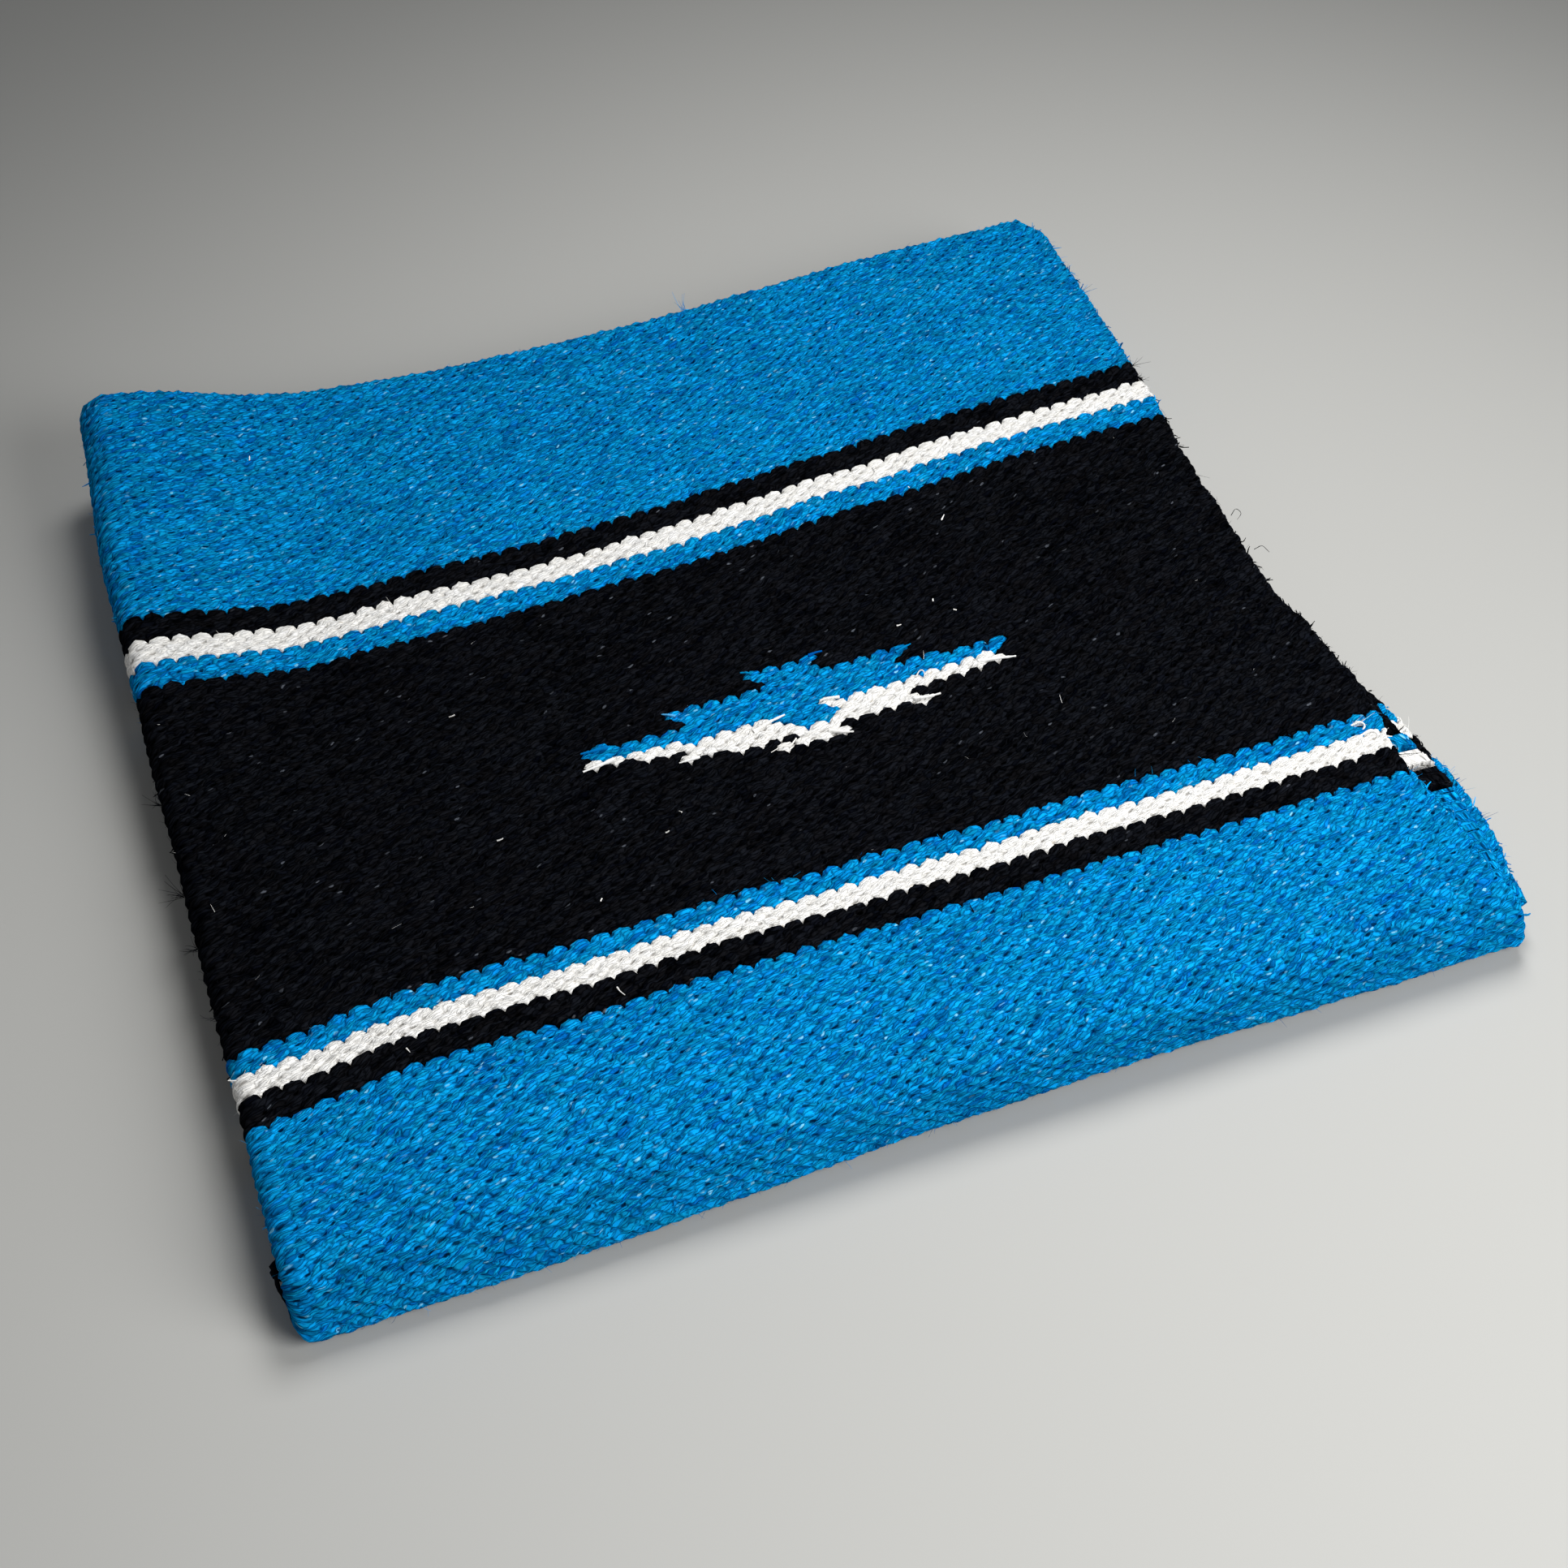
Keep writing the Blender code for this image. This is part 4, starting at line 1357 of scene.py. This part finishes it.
class Graph:
    """Short forms for adding shader nodes to a node tree."""

    def __init__(self, tree: bpy.types.NodeTree) -> None:
        """Keep the tree.

        Args:
            tree: Node tree that takes the nodes.
        """
        self.tree = tree

    def node(self, kind: str, **values: object) -> bpy.types.Node:
        """Add a node and set its properties."""
        node = self.tree.nodes.new(kind)
        for name, value in values.items():
            setattr(node, name, value)
        return node

    def feed(self, socket: Socket, value: Socket | float | tuple) -> None:
        """Link an output to a socket, or set the socket to a plain value."""
        if isinstance(value, Socket):
            self.tree.links.new(value, socket)
        else:
            socket.default_value = value

    def math(self, operation: str, *inputs: Socket | float) -> Socket:
        """Add a math node and return its value."""
        node = self.node("ShaderNodeMath", operation=operation)
        for socket, value in zip(node.inputs, inputs):
            self.feed(socket, value)
        return node.outputs[0]

    def ramp(
        self, value: Socket, low: float, high: float, to_low: float = 0.0, to_high: float = 1.0
    ) -> Socket:
        """Map a value from one range to another by a smooth step."""
        node = self.node("ShaderNodeMapRange", interpolation_type="SMOOTHSTEP")
        for name, item in zip(
            ("Value", "From Min", "From Max", "To Min", "To Max"),
            (value, low, high, to_low, to_high),
        ):
            self.feed(node.inputs[name], item)
        return node.outputs["Result"]

    def blend(self, factor: Socket, first: Socket | tuple, second: tuple) -> Socket:
        """Mix two colours."""
        node = self.node("ShaderNodeMix", data_type="RGBA")
        self.feed(node.inputs["Factor"], factor)
        self.feed(node.inputs[6], first)
        self.feed(node.inputs[7], second)
        return node.outputs[2]

    def vector(self, x: Socket, y: Socket, z: Socket | float = 0.0) -> Socket:
        """Join three values into a vector."""
        node = self.node("ShaderNodeCombineXYZ")
        for socket, value in zip(node.inputs, (x, y, z)):
            self.feed(socket, value)
        return node.outputs[0]

    def stretched(self, x: Socket, y: Socket, scales: tuple) -> Socket:
        """Join two values into a vector, each times its own scale."""
        return self.vector(*[self.math("MULTIPLY", *pair) for pair in zip((x, y), scales)])

    def noise(self, place: Socket, scale: float) -> Socket:
        """Add smooth noise over a place and return its value."""
        node = self.node("ShaderNodeTexNoise", noise_dimensions="3D")
        self.feed(node.inputs["Vector"], place)
        node.inputs["Scale"].default_value = scale
        node.inputs["Detail"].default_value = 2.0
        return node.outputs[0]

    def cells(self, place: Socket, feature: str = "F1") -> bpy.types.Node:
        """Add a flat Voronoi diagram over a place."""
        node = self.node("ShaderNodeTexVoronoi", voronoi_dimensions="2D", feature=feature)
        self.feed(node.inputs["Vector"], place)
        node.inputs["Scale"].default_value = 1.0
        return node

    def parts(self, colour: Socket) -> list[Socket]:
        """Split a colour into its three values."""
        node = self.node("ShaderNodeSeparateColor")
        self.feed(node.inputs[0], colour)
        return list(node.outputs)


def lattice_cell(g: Graph, warp: Socket, pick: Socket, shift: float) -> tuple:
    """Nearest point of the diagonal lattice of crossings, and the offset from it.

    Half the sum and half the difference of warp and pick are both whole at a crossing that
    shows. A shift of a half gives the corners between grains instead.

    Args:
        g: Graph that takes the nodes.
        warp: Warp number.
        pick: Pick number.
        shift: 0 for the grains' centres, 0.5 for their corners.

    Returns:
        Offset in warps, offset in picks, distance to the cell's edge and a random value.
    """
    offsets, cells = [], []
    for operation in ("ADD", "SUBTRACT"):
        half = g.math("MULTIPLY_ADD", g.math(operation, warp, pick), 0.5, shift)
        cell = g.math("ROUND", half)
        cells.append(cell)
        offsets.append(g.math("SUBTRACT", half, cell))
    across = g.math("ADD", *offsets)
    along = g.math("SUBTRACT", *offsets)
    edge = g.math("MAXIMUM", *[g.math("ABSOLUTE", offset) for offset in offsets])
    draw = g.node("ShaderNodeTexWhiteNoise", noise_dimensions="3D")
    g.feed(draw.inputs["Vector"], g.vector(*cells, shift))
    return across, along, edge, draw.outputs[0]


@dataclass(frozen=True)
class PackedWeft:
    """Surface of packed weft, for all colours of yarn: dabs of fibre, flecks, pits and painted shade.

    The weave's own places come from the UV map: warps across, picks along. The surface is
    divided into short slanted dabs of fibre, the cells of a stretched Voronoi diagram. Each
    has its own lightness and hue, with a small painted highlight on its crest, and dips at its
    edge, where painted shade darkens the gaps; painted shade also darkens the pits, where the
    bump sinks too, at the corners where four grains meet. Scales are counted in each warp and
    in each pick.
    """

    outputs: tuple = ("Tone", "Cast", "Gap", "Pit", "Fleck", "Fleck Kind", "Height")
    wobble: float = 0.5
    wobble_scale: float = 0.9
    slant: float = 0.42
    dab_scales: tuple = (0.95, 2.5)
    dab_edge: float = 0.26
    grain_edge: tuple = (0.28, 0.50)
    fibre_scales: tuple = (2.2, 9.0)
    slow_scale: float = 0.07
    patch_scale: float = 0.45
    # Shape, fade and draws of the painted shade in the pits; the same mask sinks the bump.
    pit_slope: float = 0.35
    pit_width: float = 0.30
    pit_height: float = 0.19
    pit_fade: tuple = (0.15, 1.5)
    pit_draws: tuple = (0.70, 0.34)
    fleck_scales: tuple = (1.05, 1.9)
    fleck_sizes: tuple = (0.16, 0.30)
    fleck_draws: tuple = (0.72, 1.0)
    fleck_power: float = 1.6
    # Weights of each dab's draw, fibres, slow noise, patches and rise; the rise paints a highlight on
    # each dab's crest.
    tone_weights: tuple = (0.42, 0.26, 0.14, 0.18, 0.06)
    height_weights: tuple = (0.45, -0.25, 0.30, -0.50)
    # Fibre ramp and rim share of the painted shade in the gaps between dabs.
    gap_fibres: tuple = (0.35, 0.62, 0.15, 0.95)
    gap_rim: float = 0.30

    def build(self) -> bpy.types.NodeTree:
        """Node group: lightness with painted highlight, cast, painted shade of gaps and of pits, fleck,
        its kind, height.
        """
        tree = bpy.data.node_groups.new("packed_weft", "ShaderNodeTree")
        for name in self.outputs:
            tree.interface.new_socket(name=name, in_out="OUTPUT", socket_type="NodeSocketFloat")
        g = Graph(tree)
        warp, pick = self.wobbled(g)
        _, _, edge, _ = lattice_cell(g, warp, pick, 0.0)
        pit_across, pit_along, _, pit_draw = lattice_cell(g, warp, pick, 0.5)

        flow = g.math("SUBTRACT", pick, g.math("MULTIPLY", warp, self.slant))
        dabs, edges = (
            g.cells(g.stretched(warp, flow, self.dab_scales), feature)
            for feature in ("F1", "DISTANCE_TO_EDGE")
        )
        dab_tone, cast, _ = g.parts(dabs.outputs["Color"])
        rise = g.ramp(edges.outputs["Distance"], 0.0, self.dab_edge)
        rim = g.ramp(edge, *self.grain_edge)
        fibres = g.noise(g.stretched(warp, flow, self.fibre_scales), 1.0)
        slow = g.noise(g.vector(warp, pick, 9.0), self.slow_scale)
        patches = g.noise(g.vector(warp, pick, 4.0), self.patch_scale)

        # Painted shade in the pits at the corners where four grains meet; the same mask sinks the bump.
        slope = g.math("SUBTRACT", pit_along, g.math("MULTIPLY", pit_across, self.pit_slope))
        wide = g.math("POWER", g.math("DIVIDE", pit_across, self.pit_width), 2.0)
        tall = g.math("POWER", g.math("DIVIDE", slope, self.pit_height), 2.0)
        pit = g.ramp(g.math("ADD", wide, tall), *self.pit_fade, 1.0, 0.0)
        pit = g.math("MULTIPLY", pit, g.math("MULTIPLY_ADD", pit_draw, *self.pit_draws))
        fleck, fleck_kind = self.flecks(g, warp, flow)

        # Lightness that differs at random, with a little of the rise as a painted highlight on each
        # dab's crest.
        first, *weights = self.tone_weights
        tone_and_highlight = g.math("MULTIPLY", dab_tone, first)
        for value, weight in zip((fibres, slow, patches, rise), weights):
            tone_and_highlight = g.math("MULTIPLY_ADD", value, weight, tone_and_highlight)
        first, *weights = self.height_weights
        height = g.math("MULTIPLY", rise, first)
        for value, weight in zip((rim, fibres, pit), weights):
            height = g.math("MULTIPLY_ADD", value, weight, height)
        # Painted shade in the gaps between dabs, and more faintly at the grains' rims.
        gap = g.math("MULTIPLY", g.math("SUBTRACT", 1.0, rise), g.ramp(fibres, *self.gap_fibres))
        gap = g.math("MAXIMUM", gap, g.math("MULTIPLY", rim, self.gap_rim))
        output = g.node("NodeGroupOutput")
        for name, value in zip(self.outputs, (tone_and_highlight, cast, gap, pit, fleck, fleck_kind, height)):
            g.feed(output.inputs[name], value)
        return tree

    def wobbled(self, g: Graph) -> tuple:
        """Warp and pick of each place, shifted a little by smooth noise.

        Args:
            g: Graph that takes the nodes.

        Returns:
            The two values.
        """
        uv = g.node("ShaderNodeUVMap", uv_map="weave").outputs[0]
        split = g.node("ShaderNodeSeparateXYZ")
        g.feed(split.inputs[0], uv)
        noise = g.node("ShaderNodeTexNoise", noise_dimensions="2D")
        g.feed(noise.inputs["Vector"], uv)
        noise.inputs["Scale"].default_value = self.wobble_scale
        shifts = [
            g.math("MULTIPLY_ADD", part, self.wobble, -self.wobble / 2)
            for part in g.parts(noise.outputs[1])[:2]
        ]
        return tuple(g.math("ADD", place, shift) for place, shift in zip(split.outputs, shifts))

    def flecks(self, g: Graph, warp: Socket, flow: Socket) -> tuple:
        """Pale flecks: small spots in some cells of a second Voronoi diagram.

        Args:
            g: Graph that takes the nodes.
            warp: Warp number.
            flow: Place across the slant of the dabs.

        Returns:
            How much of a fleck a place has, and the random value by which a finish keeps it.
        """
        spots = g.cells(g.stretched(warp, flow, self.fleck_scales))
        kind = g.node("ShaderNodeTexWhiteNoise", noise_dimensions="3D")
        g.feed(kind.inputs["Vector"], spots.outputs["Position"])
        size = g.ramp(spots.outputs["Distance"], *self.fleck_sizes, 1.0, 0.0)
        chosen = g.math("POWER", g.ramp(kind.outputs[0], *self.fleck_draws), self.fleck_power)
        return g.math("MULTIPLY", size, chosen), g.parts(kind.outputs[1])[1]


@dataclass(frozen=True)
class Finish:
    """Colours of one yarn, with its painted shade in the gaps and pits, and how its surface takes the
    light.
    """

    yarn: Yarn
    dark: tuple
    # Light end of the random lightness, which also takes the painted highlight on the dabs' crests.
    light: tuple
    cast: tuple
    deep: tuple
    # Colour of the painted shade in the gaps between dabs.
    gap: tuple
    fleck: tuple
    # Colour of the painted shade in the pits where four grains meet.
    pit: tuple
    fleck_share: float
    sheen: float = 0.0
    specular: float = 0.0

    tone_range = (0.25, 0.78)
    cast_range = (0.3, 1.0)
    cast_share = 0.55
    deep_range = (0.05, 0.16)
    deep_share = 0.32
    # Strength of the painted shade in the gaps between dabs.
    gap_share = 0.95
    roughness = 0.90
    sheen_roughness = 0.55
    bump_strength = 1.0
    bump_height = 0.0006

    def material(self, group: bpy.types.NodeTree) -> bpy.types.Material:
        """Material of the yarn: each feature of the weft is blended over those before it.

        Args:
            group: The node group of packed weft.

        Returns:
            The material, named as its slot.
        """
        material = bpy.data.materials.new(self.yarn.value)
        material.use_nodes = True
        g = Graph(material.node_tree)
        shader = material.node_tree.nodes["Principled BSDF"]
        weave = g.node("ShaderNodeGroup", node_tree=group).outputs
        kept = g.math("LESS_THAN", weave["Fleck Kind"], self.fleck_share)
        colour = (*self.dark, 1)
        for factor, paint in (
            # Random lightness, with a small painted highlight on the dabs' crests.
            (g.ramp(weave["Tone"], *self.tone_range), self.light),
            (g.math("MULTIPLY", g.ramp(weave["Cast"], *self.cast_range), self.cast_share), self.cast),
            (g.ramp(weave["Cast"], *self.deep_range, self.deep_share, 0.0), self.deep),
            # Painted shade in the gaps between dabs and at the grains' rims.
            (g.math("MULTIPLY", weave["Gap"], self.gap_share), self.gap),
            (g.math("MULTIPLY", weave["Fleck"], kept), self.fleck),
            # Painted shade in the pits at the grains' corners.
            (weave["Pit"], self.pit),
        ):
            colour = g.blend(factor, colour, (*paint, 1))
        bump = g.node("ShaderNodeBump")
        for socket, value in (
            (bump.inputs["Strength"], self.bump_strength),
            (bump.inputs["Distance"], self.bump_height),
            (bump.inputs["Height"], weave["Height"]),
            (shader.inputs["Normal"], bump.outputs[0]),
            (shader.inputs["Base Color"], colour),
            (shader.inputs["Roughness"], self.roughness),
            (shader.inputs["Specular IOR Level"], self.specular),
            (shader.inputs["Sheen Weight"], self.sheen),
            (shader.inputs["Sheen Roughness"], self.sheen_roughness),
        ):
            g.feed(socket, value)
        return material


FINISHES = (
    Finish(
        BLUE, dark=(0.0002, 0.098, 0.330), light=(0.0030, 0.402, 0.945), cast=(0.0030, 0.30, 0.50),
        deep=(0.0010, 0.100, 0.640), gap=(0.0001, 0.040, 0.145), fleck=(0.20, 0.60, 0.88),
        pit=(0.0001, 0.014, 0.055), fleck_share=0.42,
    ),
    Finish(
        BLACK, dark=(0.0006, 0.0008, 0.0014), light=(0.0086, 0.0099, 0.0136),
        cast=(0.0060, 0.0056, 0.0060), deep=(0.0016, 0.0022, 0.0060),
        gap=(0.0001, 0.0001, 0.0002), fleck=(0.09, 0.10, 0.12), pit=(0.0001, 0.0001, 0.0001),
        fleck_share=0.07,
    ),
    Finish(
        WHITE, dark=(0.86, 0.85, 0.82), light=(0.95, 0.945, 0.93), cast=(0.90, 0.87, 0.80),
        deep=(0.84, 0.84, 0.84), gap=(0.76, 0.745, 0.71), fleck=(0.62, 0.57, 0.49),
        pit=(0.42, 0.40, 0.37), fleck_share=0.20, sheen=0.05, specular=0.10,
    ),
)


@dataclass(frozen=True)
class Lamp:
    """Square area light that faces a place on the blanket.

    Attributes:
        name: Its name.
        place: Where it stands.
        target: The place that it faces.
        size: Length of its sides.
        power: Its power in watts.
        spread: Angle that its light spreads over, in degrees.
    """

    name: str
    place: tuple
    target: tuple
    size: float
    power: float
    spread: float

    def build(self) -> bpy.types.Object:
        """Add the light to the scene."""
        light = bpy.data.lights.new(self.name, "AREA")
        light.size = self.size
        light.energy = self.power
        light.spread = math.radians(self.spread)
        item = bpy.data.objects.new(self.name, light)
        item.location = self.place
        away = Vector(self.place) - Vector(self.target)
        item.rotation_euler = away.to_track_quat("Z", "Y").to_euler()
        bpy.context.collection.objects.link(item)
        return item


class Studio:
    """Camera, lights and floor around the blanket."""

    focal_length = 53.0
    sensor_width = 36.0
    camera_place = (-0.1791, -0.5296, 0.6257)
    camera_axes = ((0.9390, -0.3440, -0.0026), (0.2663, 0.7222, 0.6384), (-0.2177, -0.6001, 0.7697))
    lamps = (
        Lamp("key_light", (0.34, 0.46, 1.03), (0.12, -0.19, 0.0), 0.50, power=2.22, spread=70.9),
        Lamp("front_light", (0.60, -0.90, 0.67), (-0.15, -0.68, 0.0), 0.80, power=9.90, spread=132.5),
    )
    sky_colour = (0.90, 0.92, 0.95, 1)
    sky_strength = 0.185
    floor_size = 6.0
    floor_height = -0.0006
    floor_colour = (0.44, 0.438, 0.418, 1)
    floor_roughness = 0.9

    def build(self) -> None:
        """Add the camera, the lights, the world and the floor."""
        camera = bpy.data.cameras.new("camera")
        camera.lens = self.focal_length
        camera.sensor_width = self.sensor_width
        stand = bpy.data.objects.new("camera", camera)
        turn = Matrix(self.camera_axes).transposed().to_4x4()
        stand.matrix_world = Matrix.Translation(self.camera_place) @ turn
        bpy.context.collection.objects.link(stand)
        bpy.context.scene.camera = stand
        lights = [lamp.build() for lamp in self.lamps]
        world = bpy.data.worlds.new("studio")
        world.use_nodes = True
        sky = world.node_tree.nodes["Background"]
        sky.inputs["Color"].default_value = self.sky_colour
        sky.inputs["Strength"].default_value = self.sky_strength
        bpy.context.scene.world = world
        bpy.context.scene.view_settings.view_transform = "Standard"
        self.floor()

    def floor(self) -> bpy.types.Object:
        """Plain pale floor, a hair below the blanket."""
        size, height = self.floor_size, self.floor_height
        corners = [(x * size, y * size, height) for x, y in ((-1, -1), (1, -1), (1, 1), (-1, 1))]
        mesh = bpy.data.meshes.new("floor")
        mesh.from_pydata(corners, [], [(0, 1, 2, 3)])
        material = bpy.data.materials.new("floor")
        material.use_nodes = True
        shader = material.node_tree.nodes["Principled BSDF"]
        shader.inputs["Base Color"].default_value = self.floor_colour
        shader.inputs["Roughness"].default_value = self.floor_roughness
        mesh.materials.append(material)
        floor = bpy.data.objects.new("floor", mesh)
        bpy.context.collection.objects.link(floor)
        return floor


# Points in each warp and in each pick, by layer and by kind of band.
FINENESS = {
    (1, "narrow"): 4, (1, "near_field"): 4, (1, "centre_field"): 3, (1, "far_field"): 3,
    (2, "near_field"): 3,
    (3, "narrow"): 3, (3, "near_field"): 3, (3, "centre_field"): 3, (3, "far_field"): 3,
}
HIDDEN_FINENESS = 2
# Flat lengths of the wide fields, and the stripes that go with each.
WIDE_FIELDS = {"near_field": 0.0505, "centre_field": 0.1473, "far_field": 0.1121}
CARRIED_STRIPES = {
    "near_field": ("near_black_stripe", "near_white_stripe"),
    "centre_field": ("near_blue_stripe", "far_blue_stripe"),
    "far_field": ("far_white_stripe", "far_black_stripe"),
}


def diamond_node(half: Half, stretch: Stretch, yarn: Yarn) -> str:
    """Node of the diamond's weft in a layer: outer in the top and bottom ones, inner between."""
    side = "outer" if (stretch is Stretch.OVER) == (half is UPPER) else "inner"
    return f"{half.name}_{side}_diamond_{yarn.name.lower()}"


class SaddleBlanket:
    """The folded blanket: both halves, the diamonds and the near fold."""

    near_fold_length = 0.0418
    wrap_fineness = 4
    inner_fold_fineness = 3
    bend_margin = 0.0005

    def __init__(self) -> None:
        """Prepare the plan, the relief and the materials."""
        self.plan = ClothPlan()
        self.relief = WeaveRelief()
        self.pieces: dict[str, bpy.types.Object] = {}
        group = PackedWeft().build()
        self.materials = {finish.yarn: finish.material(group) for finish in FINISHES}

    def build(self) -> None:
        """Build every piece in order."""
        self.fold_pieces()
        for half in (UPPER, LOWER):
            cloth = DoubledCloth(self.plan, self.relief, half)
            for stretch in Stretch:
                self.bands(cloth, stretch)
        self.declare_sheets()
        self.loose_yarn()

    def piece(
        self, name: str, patch: Patch, yarn: Yarn, body: str | None, *nodes: str
    ) -> bpy.types.Object:
        """Make a piece with its finish, hang it on its body, if any, and hide the parts of the nodes it
        stands for.

        Args:
            name: Its name.
            patch: Its mesh.
            yarn: Its colour.
            body: Body that it rides on, or none for a piece of the near fold.
            nodes: Nodes of the solids that it stands for.

        Returns:
            The piece.
        """
        piece = add_piece(name, patch, self.materials[yarn])
        if body:
            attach(piece, body)
        if nodes:
            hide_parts(*nodes)
        self.pieces[name] = piece
        LOG.info("%s: %d triangles", name, len(piece.data.polygons))
        return piece

    def bend(self, piece: bpy.types.Object, reach: float) -> None:
        """Bake a piece's transform into its mesh.

        Args:
            piece: The piece.
            reach: Half the height of the near fold's bend; not used.
        """
        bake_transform(piece)

    def fold_pieces(self) -> None:
        """Build the wrap round the near edge and the inner fold inside it."""
        plan, reach = self.plan, self.plan.fold_radius - self.bend_margin
        turns = (
            ("near_fold_wrap", UPPER, -plan.arc_warps, plan.wrap_picks, self.wrap_fineness, reach),
            ("near_fold_inner", LOWER, plan.arc_warps, plan.inner_fold_picks, self.inner_fold_fineness,
             plan.clearance / 2),
        )
        for name, half, seam_warp, picks, fineness, bend_reach in turns:
            cloth = DoubledCloth(plan, self.relief, half, seam_warp)
            patch = cloth.shell(Stretch.OVER, (-picks, -1), fineness)
            self.bend(self.piece(name, patch, BLUE, None, "near_fold"), bend_reach)

    def bands(self, cloth: DoubledCloth, stretch: Stretch) -> None:
        """Build the bands of one stretch, with its diamond.

        Args:
            cloth: The half.
            stretch: Which stretch of it.
        """
        half, table = cloth.half, Diamond().colours(cloth, stretch)
        for index, band in enumerate(BANDS):
            picks = (FIRST_PICKS[index], FIRST_PICKS[index + 1] - 1)
            size = band.name if band.name in WIDE_FIELDS else "narrow"
            fineness = FINENESS.get((half.layer(stretch), size), HIDDEN_FINENESS)
            node = f"{half.name}_{band.name}"
            inlaid = INLAYS if index == CENTRE_FIELD else {}
            patch = cloth.shell(stretch, picks, fineness, table if inlaid else None)
            self.piece(f"{node}_{stretch.value}", patch, band.yarn, half.body, node)
            for number, yarn in inlaid.items():
                patch = cloth.inlay(stretch, picks, fineness, table, number)
                node = diamond_node(half, stretch, yarn)
                self.piece(f"{node}_weft", patch, yarn, half.body, node)

    def layer_piece(self, layer: tuple[Half, Stretch], band_name: str) -> bpy.types.Object:
        """Piece of a band in one layer, which is given by its half and its stretch."""
        half, stretch = layer
        return self.pieces[f"{half.name}_{band_name}_{stretch.value}"]

    def declare_sheets(self) -> None:
        layers = [(half, stretch) for half in (UPPER, LOWER) for stretch in Stretch]
        for layer, under in zip(layers, [*layers[1:], None]):
            for name, length in WIDE_FIELDS.items():
                carried = [self.layer_piece(layer, stripe) for stripe in CARRIED_STRIPES[name]]
                if name == BANDS[CENTRE_FIELD].name:
                    nodes = [diamond_node(*layer, yarn) for yarn in INLAYS.values()]
                    carried += [self.pieces[f"{node}_weft"] for node in nodes]

    def loose_yarn(self) -> None:
        """Build the loose yarn, one piece for each body and colour."""
        loose = LooseYarn(self.plan)
        loose.build()
        for (body, yarn), patch in loose.patches.items():
            name = f"{body}_loose_{yarn.name.lower()}"
            if body == "near_fold":
                self.bend(self.piece(name, patch, yarn, None), self.plan.fold_radius - self.bend_margin)
            else:
                self.piece(name, patch, yarn, body)


def main() -> None:
    """Build the blanket and the studio, in order."""
    logging.basicConfig(level=logging.INFO, format="%(name)s: %(message)s")
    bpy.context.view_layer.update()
    blanket = SaddleBlanket()
    blanket.build()
    Studio().build()


if __name__ == "__main__":
    main()
